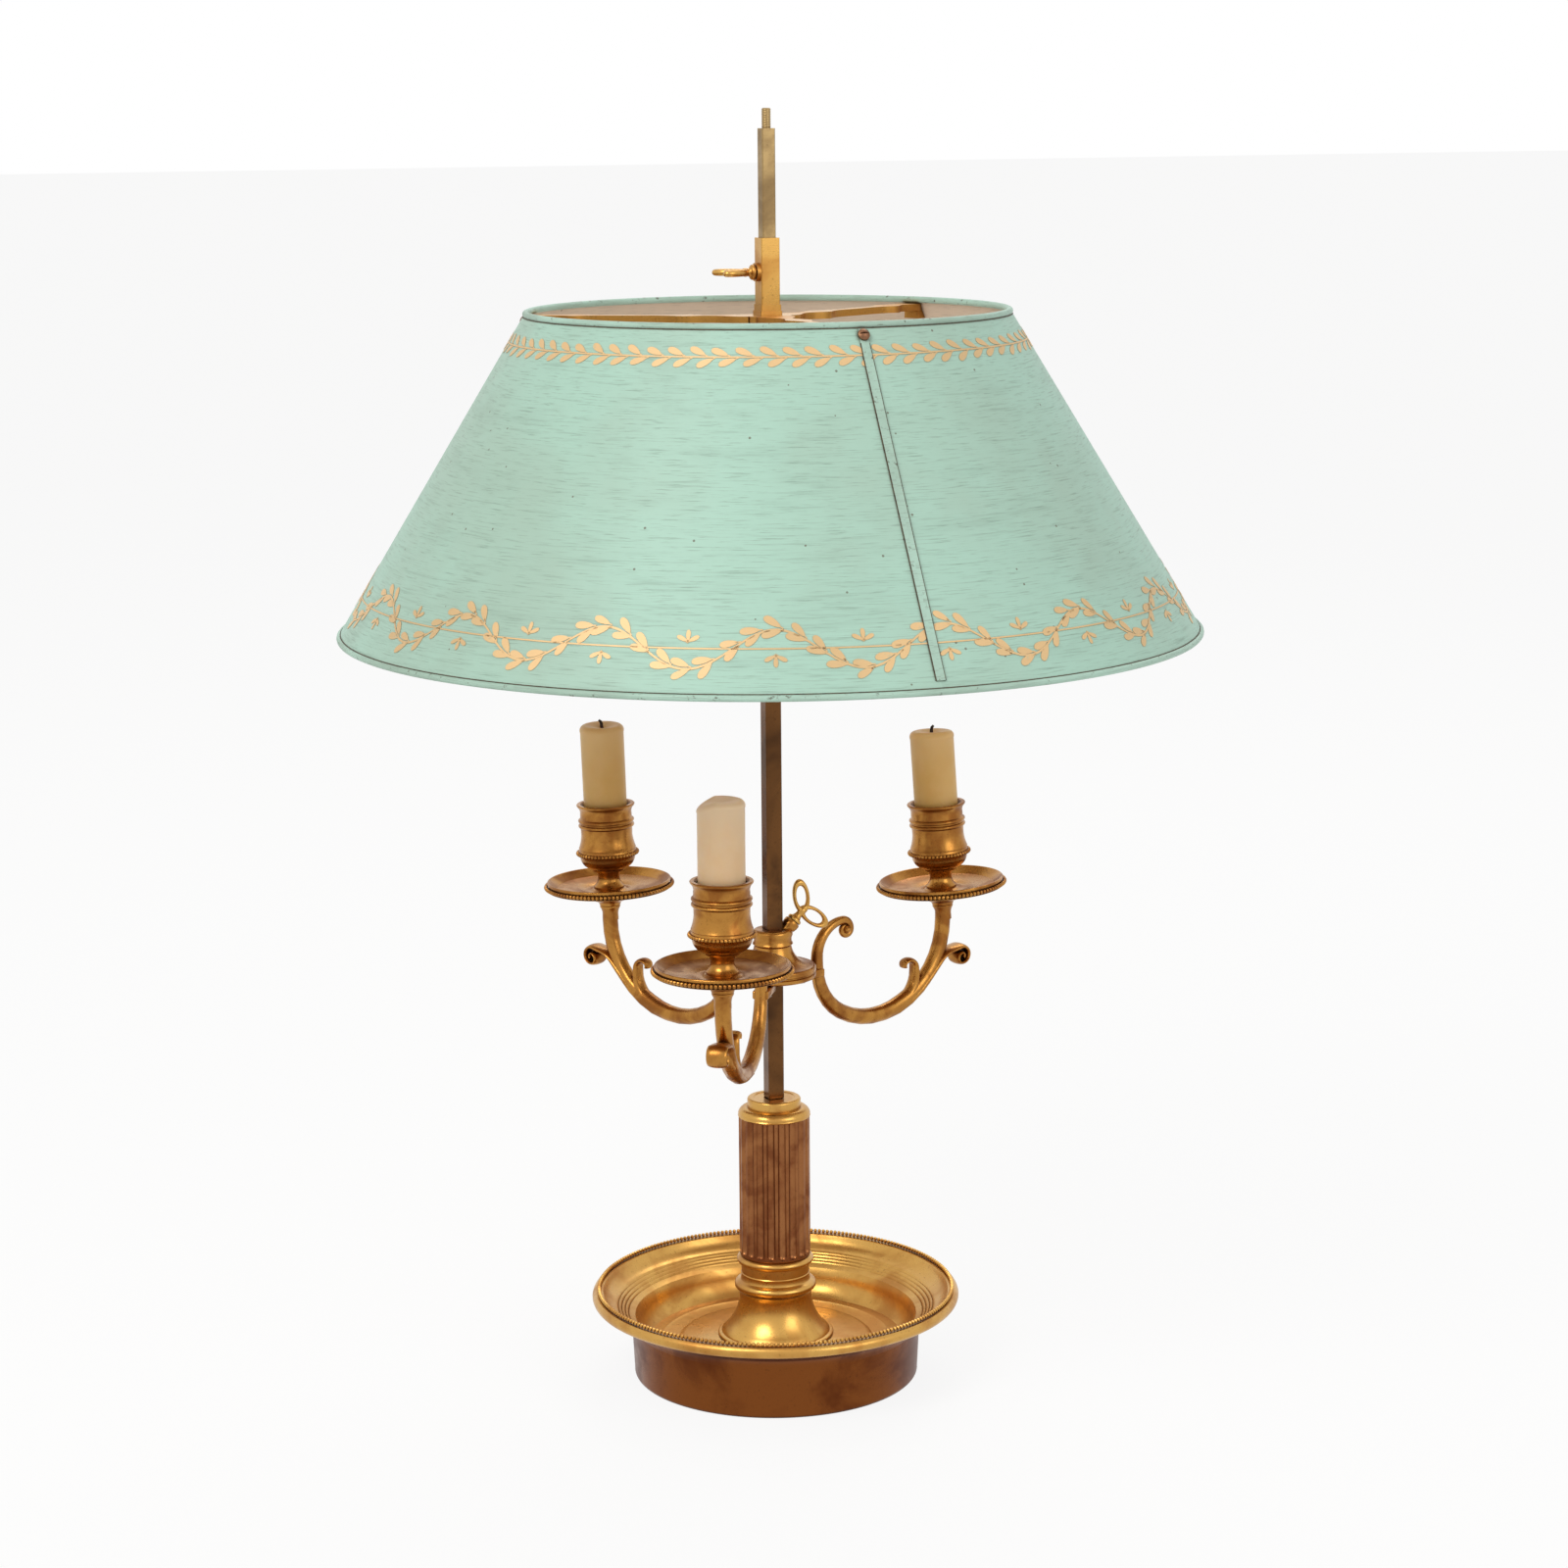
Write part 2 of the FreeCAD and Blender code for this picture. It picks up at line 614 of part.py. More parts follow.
export(base_dish(), "base_dish")
export(base_bead_ring(), "base_bead_ring")
export(column_foot(), "column_foot")
export(column_shaft(), "column_shaft")
export(column_cap(), "column_cap")
export(main_rod(), "main_rod")
export(base_washer(), "base_washer")
export(base_nut(), "base_nut")
export(upper_rod(), "upper_rod")

export(cluster_hub(), "cluster_hub")
export(arm_screws(), "arm_screws")
branches = (
    ("front", arm_front_azimuth, 0.0),
    ("right", arm_right_azimuth, right_lean),
    ("left", arm_left_azimuth, left_lean))
wicks = {
    "right": wick(right_candle_length, 1),
    "left": wick(left_candle_length, -1)}
candles = {
    "front": front_candle(),
    "right": candle(right_candle_length).cut(wicks["right"]),
    "left": candle(left_candle_length).cut(wicks["left"])}
for name, azimuth, lean in branches:
    export(arm(azimuth, lean), "arm_" + name)
    export(place_branch(drip_pan(), azimuth, lean), "pan_" + name)
    export(place_branch(candle_cup(), azimuth, lean), "cup_" + name)
    export(place_branch(candles[name], azimuth, lean), "candle_" + name)
for name, azimuth, lean in branches[1:]:
    export(place_branch(wicks[name], azimuth, lean), "wick_" + name)

start, way = key_axis()
shank_from = (rod_side / 2 + 0.2) * math.sqrt(2) + 2.0
export(thumb_key(start, way, V(-1, 0, 1).normalize(), shank_from, 15.8, 2.0), "cluster_key")
start, way = shade_key_axis()
shoulder = sleeve_side / 2 + 1.8 + 0.3
export(thumb_key(start, way, V(0, 1, 0), upper_rod_side / 2 + 0.2, shoulder, 2.0), "shade_key")

export(shade_cone(), "shade_cone")
export(rim(shade_top_radius, shade_top, top_roll), "shade_top_rim")
export(rim(shade_bottom_radius, shade_level, bottom_roll), "shade_bottom_rim")
export(seam(0), "seam_front")
export(seam(180), "seam_back")
export(shade_spider(), "shade_spider")
export(shade_sleeve(), "shade_sleeve")
export(spider_screws(), "spider_screws")
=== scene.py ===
# Candle lamp with a painted metal shade, in metres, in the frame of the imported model.
import math
import random

import bpy
from mathutils import Matrix, Vector


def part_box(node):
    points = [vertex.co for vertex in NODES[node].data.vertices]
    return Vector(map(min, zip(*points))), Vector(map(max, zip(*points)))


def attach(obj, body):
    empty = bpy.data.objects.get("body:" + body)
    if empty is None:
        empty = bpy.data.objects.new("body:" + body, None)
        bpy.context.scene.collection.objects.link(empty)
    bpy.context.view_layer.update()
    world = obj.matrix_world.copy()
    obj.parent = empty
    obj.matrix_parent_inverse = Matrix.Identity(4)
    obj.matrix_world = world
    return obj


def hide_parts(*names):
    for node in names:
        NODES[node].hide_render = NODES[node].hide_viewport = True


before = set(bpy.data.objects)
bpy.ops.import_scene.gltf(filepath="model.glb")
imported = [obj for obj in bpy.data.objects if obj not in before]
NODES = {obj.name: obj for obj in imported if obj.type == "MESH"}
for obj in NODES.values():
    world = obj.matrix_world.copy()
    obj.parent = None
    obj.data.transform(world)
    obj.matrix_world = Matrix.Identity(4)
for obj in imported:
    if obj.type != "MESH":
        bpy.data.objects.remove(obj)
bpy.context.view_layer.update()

MM = 0.001
SAME_POINT = 0.01 * MM

# Photograph's camera: distance and height of the lens from the foot of the lamp
PHOTO_WIDTH = 1600.0
SENSOR_WIDTH = 36.0
VIEW_AZIMUTH = math.radians(-21.0)
VIEW_DISTANCE = 1.7324
VIEW_HEIGHT = 0.6369
VIEW_PITCH = math.radians(10.92)
VIEW_ROLL = math.radians(-0.46)
VIEW_FOCAL = 3654.4 / PHOTO_WIDTH * SENSOR_WIDTH
VIEW_SHIFT = 12.82 / PHOTO_WIDTH

# Levels and radii read from the frame
base_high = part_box("base_dish")[1]
base_radius = base_high.x
base_height = base_high.z
foot_low, foot_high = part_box("column_foot")
shaft_low, shaft_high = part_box("column_shaft")
cap_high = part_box("column_cap")[1]
hub_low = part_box("cluster_hub")[0]
top_rim_low, top_rim_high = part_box("shade_top_rim")
bottom_rim_low, bottom_rim_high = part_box("shade_bottom_rim")
stud_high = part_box("upper_rod")[1]

# Shade cone: radii and levels of the two rolled edges, and the length down its side
SHADE_TOP = (top_rim_low.z + top_rim_high.z) / 2
SHADE_LEVEL = (bottom_rim_low.z + bottom_rim_high.z) / 2
TOP_ROLL = (top_rim_high.z - top_rim_low.z) / 2
BOTTOM_ROLL = (bottom_rim_high.z - bottom_rim_low.z) / 2
SHEET = 0.8 * MM
TOP_RADIUS = top_rim_high.x - TOP_ROLL + SHEET / 2
BOTTOM_RADIUS = bottom_rim_high.x - BOTTOM_ROLL + SHEET / 2
SHADE_FALL = SHADE_TOP - SHADE_LEVEL
SHADE_SPREAD = BOTTOM_RADIUS - TOP_RADIUS
SHADE_SIDE = math.hypot(SHADE_FALL, SHADE_SPREAD)

# Brushed paint: height off the sheet while it is laid, and leaf stalks' distance from their stem
PAINT_LIFT = 0.1 * MM
STALK_GAP = 0.9 * MM

# Stand's bore and column radius, and the candles' common sizes, in millimetres
BORE = 5.0
COLUMN = cap_high.x / MM + 4.6
PAN_RADIUS = 33.5
CUP_SEAT = 9.0
CUP_BORE = 12.0
CUP_FLOOR = CUP_SEAT + 23.4
WAX_RADIUS = 11.2

# Branches: azimuth on the hub and lean of the pan, in degrees, and the candle's length
REACH = 113.0 * MM
ARM_SEAT = hub_low.z + 20.5 * MM
BRANCHES = (
    ("front", -33.0, 0.0, 59.2),
    ("right", 108.0, 3.7, 58.5),
    ("left", -153.0, 1.7, 62.0),
)

# Places of the two keys: each is built along +Z from the rod's centre line
key_low, key_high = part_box("shade_key")
CLUSTER_KEY_PLACE = (Matrix.Translation((0, 0, hub_low.z + 16.5 * MM))
                     @ Matrix.Rotation(math.radians(45), 4, "Y"))
SHADE_KEY_PLACE = (Matrix.Translation((0, 0, (key_low.z + key_high.z) / 2))
                   @ Matrix.Rotation(math.radians(-90), 4, "Y")
                   @ Matrix.Rotation(math.radians(90), 4, "Z"))


def at(radius, azimuth, height):
    """Point at a radius and height; azimuth in degrees, 0 towards -Y and growing towards +X."""
    a = math.radians(azimuth)
    return Vector((radius * math.sin(a), -radius * math.cos(a), height))


# Mesh helpers

def set_mode(mode, select=None):
    bpy.ops.object.mode_set(mode=mode)
    if select:
        bpy.ops.mesh.select_all(action=select)


def clear_selection():
    if bpy.context.object and bpy.context.object.mode != "OBJECT":
        set_mode("OBJECT")
    bpy.ops.object.select_all(action="DESELECT")


def activate(piece):
    clear_selection()
    piece.select_set(True)
    bpy.context.view_layer.objects.active = piece


def apply_modifiers(piece):
    activate(piece)
    for modifier in list(piece.modifiers):
        bpy.ops.object.modifier_apply(modifier=modifier.name)


def recalculate(piece):
    activate(piece)
    set_mode("EDIT", "SELECT")
    bpy.ops.mesh.remove_doubles(threshold=SAME_POINT)
    bpy.ops.mesh.normals_make_consistent(inside=False)
    set_mode("OBJECT")


def join(pieces, name):
    clear_selection()
    for piece in pieces:
        piece.select_set(True)
    bpy.context.view_layer.objects.active = pieces[0]
    if len(pieces) > 1:
        bpy.ops.object.join()
    joined = bpy.context.object
    joined.name = name
    joined.data.name = name
    return joined


def place(piece, matrix):
    """Moves a piece's mesh by a matrix; its object stays at the origin."""
    piece.data.transform(matrix)
    piece.data.update()
    return piece


def bake_place(piece):
    """Moves an object's own place, turn and scale into its mesh."""
    activate(piece)
    bpy.ops.object.transform_apply(location=True, rotation=True, scale=True)
    return piece


def twin_of(piece):
    """Copy of a piece with a mesh of its own."""
    twin = piece.copy()
    twin.data = piece.data.copy()
    bpy.context.collection.objects.link(twin)
    return twin


def faces_rod(polygon):
    centre = polygon.center
    return polygon.normal.x * centre.x + polygon.normal.y * centre.y < 0


def face_outwards(piece):
    """Flips each face that looks towards the rod."""
    activate(piece)
    set_mode("EDIT")
    bpy.ops.mesh.select_mode(type="FACE")
    bpy.ops.mesh.select_all(action="DESELECT")
    set_mode("OBJECT")
    for polygon in piece.data.polygons:
        polygon.select = faces_rod(polygon)
    set_mode("EDIT")
    bpy.ops.mesh.flip_normals()
    bpy.ops.mesh.select_mode(type="VERT")
    set_mode("OBJECT")


def cut_with(piece, cutter):
    """Takes a cutter's shape out of a piece and deletes the cutter."""
    cut = piece.modifiers.new("cut", "BOOLEAN")
    cut.operation = "DIFFERENCE"
    cut.solver = "EXACT"
    cut.object = cutter
    apply_modifiers(piece)
    bpy.data.objects.remove(cutter)
    return piece


def square_block(side, low, high):
    clear_selection()
    bpy.ops.mesh.primitive_cube_add(size=1.0, location=(0, 0, (low + high) / 2))
    block = bpy.context.object
    block.scale = (side, side, high - low)
    return bake_place(block)


def finish(piece, body, material, nodes=(), angle=35.0):
    """Smooths, dresses and fixes a piece on its body."""
    activate(piece)
    bpy.ops.object.shade_smooth_by_angle(angle=math.radians(angle))
    piece.data.materials.clear()
    for each in material if isinstance(material, tuple) else (material,):
        piece.data.materials.append(each)
    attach(piece, body)
    if nodes:
        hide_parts(*nodes)
    return piece


def first_vertex(name, point):
    """New mesh object with one vertex, in edit mode."""
    clear_selection()
    bpy.ops.mesh.primitive_plane_add(size=0.001, location=(0, 0, 0))
    piece = bpy.context.object
    piece.name = name
    set_mode("EDIT", "SELECT")
    bpy.ops.mesh.merge(type="CENTER")
    bpy.ops.transform.translate(value=point)
    return piece


def rounded(outline, arc_steps=8):
    """Outline of (r, z) points in millimetres; an entry (r, z, r, z) is an arc's middle and end."""
    points = [outline[0]]
    for entry in outline[1:]:
        if len(entry) == 2:
            points.append(entry)
            continue
        a, b, c = Vector(points[-1]), Vector(entry[:2]), Vector(entry[2:])
        d = 2 * (a.x * (b.y - c.y) + b.x * (c.y - a.y) + c.x * (a.y - b.y))
        if abs(d) < 0.001:
            points += [(b.x, b.y), (c.x, c.y)]
            continue
        x = (a.length_squared * (b.y - c.y) + b.length_squared * (c.y - a.y)
             + c.length_squared * (a.y - b.y)) / d
        y = (a.length_squared * (c.x - b.x) + b.length_squared * (a.x - c.x)
             + c.length_squared * (b.x - a.x)) / d
        centre = Vector((x, y))
        start = math.atan2(a.y - y, a.x - x)
        middle = (math.atan2(b.y - y, b.x - x) - start) % (2 * math.pi)
        sweep = (math.atan2(c.y - y, c.x - x) - start) % (2 * math.pi)
        if middle > sweep:
            sweep -= 2 * math.pi
        radius = (a - centre).length
        for i in range(1, arc_steps + 1):
            g = start + sweep * i / arc_steps
            points.append((x + radius * math.cos(g), y + radius * math.sin(g)))
    return points


def spun(name, outline, steps=96):
    """Turned piece: an outline of (r, z) in millimetres, extruded point by point and spun."""
    points = rounded(outline)
    start = Vector((points[0][0], 0, points[0][1])) * MM
    piece = first_vertex(name, start)
    last = start
    for r, z in points[1:]:
        here = Vector((r, 0, z)) * MM
        if (here - last).length < SAME_POINT:
            continue
        bpy.ops.mesh.extrude_region_move(TRANSFORM_OT_translate={"value": here - last})
        last = here
    bpy.ops.mesh.select_all(action="SELECT")
    bpy.ops.mesh.spin(steps=steps, angle=2 * math.pi, center=(0, 0, 0), axis=(0, 0, 1))
    set_mode("OBJECT")
    recalculate(piece)
    return piece


def closed(outline):
    """Outline of a hollow piece, ended where it began."""
    return outline + [outline[0]]


def ring_of(piece, count, name):
    """Joins a piece with twins of it, spread evenly round the rod."""
    ring = [piece]
    for i in range(1, count):
        ring.append(place(twin_of(piece), Matrix.Rotation(2 * math.pi * i / count, 4, "Z")))
    return join(ring, name)


def bead_row(name, count, radius, height, size, squash=1.0):
    """Row of small round beads on a circle."""
    clear_selection()
    bpy.ops.mesh.primitive_uv_sphere_add(segments=8, ring_count=5, radius=size,
                                         location=(0, -radius, height))
    bead = bpy.context.object
    bead.scale = (1, 1, squash)
    return ring_of(bake_place(bead), count, name)


def round_limb(name, stations, segments=16):
    """Limb in the XZ plane: a circle extruded through (x, z, half thickness, breadth) stations,
    where breadth is its width over its thickness."""
    clear_selection()
    points = [Vector((x, 0, z)) * MM for x, z, half, breadth in stations]
    halves = [half * MM for x, z, half, breadth in stations]
    breadths = [breadth for x, z, half, breadth in stations]
    ahead = points[1] - points[0]
    angle = math.atan2(ahead.x, ahead.z)
    bpy.ops.mesh.primitive_circle_add(vertices=segments, radius=halves[0], fill_type="NGON",
                                      location=points[0], rotation=(0, angle, 0))
    piece = bpy.context.object
    piece.name = name
    bake_place(piece)
    set_mode("EDIT", "SELECT")
    bpy.ops.transform.resize(value=(1, breadths[0], 1), center_override=points[0])
    for i in range(1, len(points)):
        way = points[min(i + 1, len(points) - 1)] - points[i - 1]
        turn = math.atan2(way.x, way.z) - angle
        turn = (turn + math.pi) % (2 * math.pi) - math.pi
        angle += turn
        bpy.ops.mesh.extrude_region_move(
            TRANSFORM_OT_translate={"value": points[i] - points[i - 1]})
        bpy.ops.transform.rotate(value=-turn, orient_axis="Y", center_override=points[i])
        k = halves[i] / halves[i - 1]
        b = breadths[i] / breadths[i - 1]
        bpy.ops.transform.resize(value=(k, k * b, k), center_override=points[i])
    set_mode("OBJECT")
    recalculate(piece)
    return piece


# Materials

def feed(tree, node, inputs):
    """Sets a node's inputs to plain values, or links them from other nodes' outputs."""
    for name, value in inputs.items():
        if isinstance(value, bpy.types.NodeSocket):
            tree.links.new(value, node.inputs[name])
        else:
            node.inputs[name].default_value = value


def add_node(tree, kind, inputs):
    node = tree.nodes.new("ShaderNode" + kind)
    feed(tree, node, inputs)
    return node


def noise(tree, vector, scale, detail=3.0, rough=0.5):
    return add_node(tree, "TexNoise", {
        "Vector": vector, "Scale": scale, "Detail": detail, "Roughness": rough}).outputs["Fac"]


def ramp(tree, value, low, high):
    """Eased step from 0 at low to 1 at high."""
    node = add_node(tree, "MapRange", {"Value": value, "From Min": low, "From Max": high})
    node.interpolation_type = "SMOOTHSTEP"
    return node.outputs["Result"]


def arithmetic(tree, operation, a, b):
    node = add_node(tree, "Math", {0: a, 1: b})
    node.operation = operation
    return node.outputs["Value"]


def scaled(tree, value, amount):
    return arithmetic(tree, "MULTIPLY", value, amount)


def blend(tree, factor, a, b):
    """Colour between a and b; sockets 6, 7 and 2 are the Mix node's colour ones."""
    node = tree.nodes.new("ShaderNodeMix")
    node.data_type = "RGBA"
    a, b = ((*value, 1.0) if isinstance(value, tuple) else value for value in (a, b))
    feed(tree, node, {0: factor, 6: a, 7: b})
    return node.outputs[2]


def make_patina():
    """Cloudy patina: a slow stain mask, a fine speck mask and a brushed height."""
    group = bpy.data.node_groups.new("Patina", "ShaderNodeTree")
    for name, kind, way in (
            ("Vector", "Vector", "INPUT"), ("Cloud Scale", "Float", "INPUT"),
            ("Stain", "Float", "OUTPUT"), ("Specks", "Float", "OUTPUT"),
            ("Brushing", "Float", "OUTPUT")):
        group.interface.new_socket(name=name, in_out=way, socket_type="NodeSocket" + kind)
    inside = group.nodes.new("NodeGroupInput")
    vector = inside.outputs["Vector"]
    cloud = add_node(group, "TexNoise", {
        "Vector": vector, "Scale": inside.outputs["Cloud Scale"], "Detail": 4.0,
        "Roughness": 0.6, "Distortion": 0.6})
    drawn_out = add_node(group, "Mapping", {"Vector": vector, "Scale": (260.0, 260.0, 2600.0)})
    feed(group, group.nodes.new("NodeGroupOutput"), {
        "Stain": ramp(group, cloud.outputs["Fac"], 0.40, 0.68),
        "Specks": ramp(group, noise(group, vector, 900.0, 2.0), 0.62, 0.74),
        "Brushing": noise(group, drawn_out.outputs["Vector"], 1.0, 2.0)})
    return group


PATINA = make_patina()


def new_material(name):
    material = bpy.data.materials.new(name)
    material.use_nodes = True
    tree = material.node_tree
    shader = tree.nodes["Principled BSDF"]
    coordinates = tree.nodes.new("ShaderNodeTexCoord")
    return material, tree, shader, coordinates.outputs["Object"]


def bump(tree, height, strength, distance):
    return add_node(tree, "Bump", {
        "Strength": strength, "Distance": distance, "Height": height}).outputs["Normal"]


def crevices(tree, samples, distance, clear, full):
    """Ambient-occlusion mask of the places where nearby surfaces hem a point in; shade is painted
    there with it.
    """
    hollow = add_node(tree, "AmbientOcclusion", {"Distance": distance})
    hollow.samples = samples
    return ramp(tree, hollow.outputs["AO"], clear, full)


def metal(name, bright, stained, speck_and_hollow_shade, rough, cloud_scale=30.0, relief=0.12):
    """Lacquered metal: cloudy patina, painted shade and patina in the hollows, fine turning marks.
    """
    material, tree, shader, vector = new_material(name)
    patina = tree.nodes.new("ShaderNodeGroup")
    patina.node_tree = PATINA
    feed(tree, patina, {"Vector": vector, "Cloud Scale": cloud_scale})
    stain = patina.outputs["Stain"]
    colour = blend(tree, stain, bright, stained)
    colour = blend(tree, scaled(tree, patina.outputs["Specks"], 0.35), colour, speck_and_hollow_shade)
    # Painted shade, also standing for patina: the hollows are darkened towards the dark colour.
    painted_shade_and_wear = crevices(tree, 6, 4.0 * MM, 0.66, 0.22)
    low, high = rough
    spread = scaled(tree, arithmetic(tree, "MAXIMUM", stain, painted_shade_and_wear), high - low)
    feed(tree, shader, {
        "Metallic": 1.0,
        "Base Color": blend(tree, scaled(tree, painted_shade_and_wear, 0.85), colour, speck_and_hollow_shade),
        "Roughness": arithmetic(tree, "ADD", spread, low),
        "Normal": bump(tree, patina.outputs["Brushing"], relief, 0.06 * MM)})
    return material


def painted(name, light, worn, streak, speck_wear_and_shade, wear=0.0):
    """Hand-brushed paint: level streaks round the shade, greyer patches, dark pinholes, painted
    shade where nearby surfaces hem it in and, where wear is set, rubbed edges."""
    material, tree, shader, vector = new_material(name)
    split = add_node(tree, "SeparateXYZ", {"Vector": vector})
    around = arithmetic(tree, "ARCTAN2", split.outputs["X"], split.outputs["Y"])
    streaks = []
    for turn_scale, level_scale, detail in (
            (11.0, 1700.0, 3.0), (5.0, 620.0, 4.0), (2.2, 70.0, 5.0)):
        unrolled = add_node(tree, "CombineXYZ", {
            "X": scaled(tree, around, turn_scale),
            "Y": scaled(tree, split.outputs["Z"], level_scale)})
        streaks.append(noise(tree, unrolled.outputs["Vector"], 1.0, detail, 0.62))
    fine, middle, broad = streaks
    cloud = noise(tree, vector, 9.0, 4.0, 0.6)
    colour = blend(tree, ramp(tree, cloud, 0.38, 0.70), light, worn)
    for strokes, low, high, weight in (
            (broad, 0.50, 0.82, 0.26), (middle, 0.52, 0.74, 0.34), (fine, 0.54, 0.68, 0.50)):
        mask = scaled(tree, ramp(tree, strokes, low, high), weight)
        colour = blend(tree, mask, colour, streak)
    pin = add_node(tree, "TexVoronoi", {"Vector": vector, "Scale": 85.0})
    holes = arithmetic(tree, "LESS_THAN", pin.outputs["Distance"], 0.052)
    colour = blend(tree, scaled(tree, holes, 0.75), colour, speck_wear_and_shade)
    # Painted shade: the paint darkens where the rims and seam strips hem it in; rubbed wear is
    # added where wear is set.
    painted_shade_and_wear = crevices(tree, 4, 2.2 * MM, 0.86, 0.45)
    if wear:
        rub = noise(tree, vector, 240.0, 4.0, 0.7)
        painted_shade_and_wear = arithmetic(tree, "MAXIMUM", painted_shade_and_wear, ramp(tree, rub, 0.60, 0.70))
    feed(tree, shader, {
        "Specular IOR Level": 0.35,
        "Base Color": blend(tree, scaled(tree, painted_shade_and_wear, max(wear, 0.75)), colour, speck_wear_and_shade),
        "Roughness": arithmetic(tree, "ADD", scaled(tree, middle, 0.22), 0.40),
        "Normal": bump(tree, middle, 0.10, 0.2 * MM)})
    return material


def gold_leaf(name):
    """Matt gold paint, thinner where the brush ran dry."""
    material, tree, shader, vector = new_material(name)
    dry = noise(tree, vector, 260.0, 4.0, 0.7)
    hue = noise(tree, vector, 16.0, 2.0)
    colour = blend(tree, ramp(tree, hue, 0.35, 0.7), (0.76, 0.51, 0.25), (0.64, 0.44, 0.22))
    feed(tree, shader, {
        "Metallic": 0.25,
        "Base Color": blend(tree, ramp(tree, dry, 0.58, 0.80), colour, (0.50, 0.47, 0.30)),
        "Roughness": 0.5,
        "Normal": bump(tree, dry, 0.15, 0.2 * MM)})
    return material


def wax(name, top, low):
    """Old ivory wax, browner lower down the candle and faintly mottled."""
    material, tree, shader, vector = new_material(name)
    split = add_node(tree, "SeparateXYZ", {"Vector": vector})
    depth = ramp(tree, split.outputs["Z"], 325 * MM, 290 * MM)
    mottle = noise(tree, vector, 55.0, 4.0, 0.6)
    pale = scaled(tree, ramp(tree, mottle, 0.4, 0.7), 0.35)
    feed(tree, shader, {
        "Base Color": blend(tree, pale, blend(tree, depth, top, low), top),
        "Roughness": 0.42,
        "Subsurface Weight": 0.35,
        "Subsurface Radius": (0.006, 0.004, 0.002),
        "Subsurface Scale": 1.0,
        "Normal": bump(tree, mottle, 0.2, 0.6 * MM)})
    return material


def plain(name, colour, rough, dark):
    """Dull, finely grained surface."""
    material, tree, shader, vector = new_material(name)
    grain = noise(tree, vector, 700.0, 3.0)
    feed(tree, shader, {
        "Base Color": blend(tree, ramp(tree, grain, 0.4, 0.7), colour, dark),
        "Roughness": rough,
        "Normal": bump(tree, grain, 0.3, 0.3 * MM)})
    return material


GILT = metal("gilt_brass", (0.61, 0.345, 0.09), (0.46, 0.215, 0.05), (0.075, 0.026, 0.009),
             (0.27, 0.44))
ANTIQUE = metal("antique_gilt_brass", (0.45, 0.21, 0.045), (0.28, 0.105, 0.022),
                (0.055, 0.018, 0.006), (0.25, 0.42), 60.0)
COPPER = metal("coppery_brass", (0.31, 0.125, 0.045), (0.20, 0.066, 0.024), (0.05, 0.018, 0.008),
               (0.30, 0.46), 60.0)
DRUM = metal("browned_drum_brass", (0.195, 0.060, 0.014), (0.115, 0.030, 0.008),
             (0.045, 0.016, 0.007), (0.22, 0.40), 26.0)
ROD = metal("dark_rod_brass", (0.15, 0.065, 0.022), (0.060, 0.028, 0.013), (0.03, 0.014, 0.008),
            (0.24, 0.40), 18.0)
OLD_ROD = metal("grey-brown_rod_brass", (0.38, 0.26, 0.115), (0.25, 0.165, 0.075),
                (0.07, 0.04, 0.02), (0.34, 0.50), 45.0, 0.3)
SCREW = metal("browned_screw_copper", (0.26, 0.13, 0.07), (0.13, 0.06, 0.035), (0.04, 0.02, 0.012),
              (0.34, 0.50), 90.0)
STEEL = metal("dull_steel", (0.36, 0.34, 0.31), (0.22, 0.18, 0.15), (0.06, 0.04, 0.03), (0.3, 0.5))
GREEN = painted("celadon_paint", (0.41, 0.63, 0.525), (0.385, 0.55, 0.455), (0.19, 0.27, 0.215),
                (0.13, 0.10, 0.065))
GREEN_TRIM = painted("celadon_edge_paint", (0.43, 0.63, 0.53), (0.33, 0.46, 0.375),
                     (0.22, 0.27, 0.22), (0.075, 0.052, 0.03), 0.72)
INSIDE = painted("buff_lining_paint", (0.74, 0.60, 0.46), (0.64, 0.52, 0.40), (0.46, 0.38, 0.30),
                 (0.16, 0.12, 0.08))
GOLD = gold_leaf("gold_garland_paint")
WAX = wax("honey_wax", (0.74, 0.50, 0.21), (0.66, 0.40, 0.11))
PALE_WAX = wax("ivory_wax", (0.77, 0.60, 0.40), (0.72, 0.50, 0.28))
BURNT = plain("burnt_wick", (0.05, 0.035, 0.025), 0.9, (0.015, 0.01, 0.01))
# Dark paint for the painted shadow along the seams' open edges and the painted shade lines at the
# rolled rims.
PAINTED_SHADOW = plain("painted_seam_and_rim_shadow", (0.10, 0.075, 0.045), 0.8, (0.035, 0.024, 0.014))


# Base and column

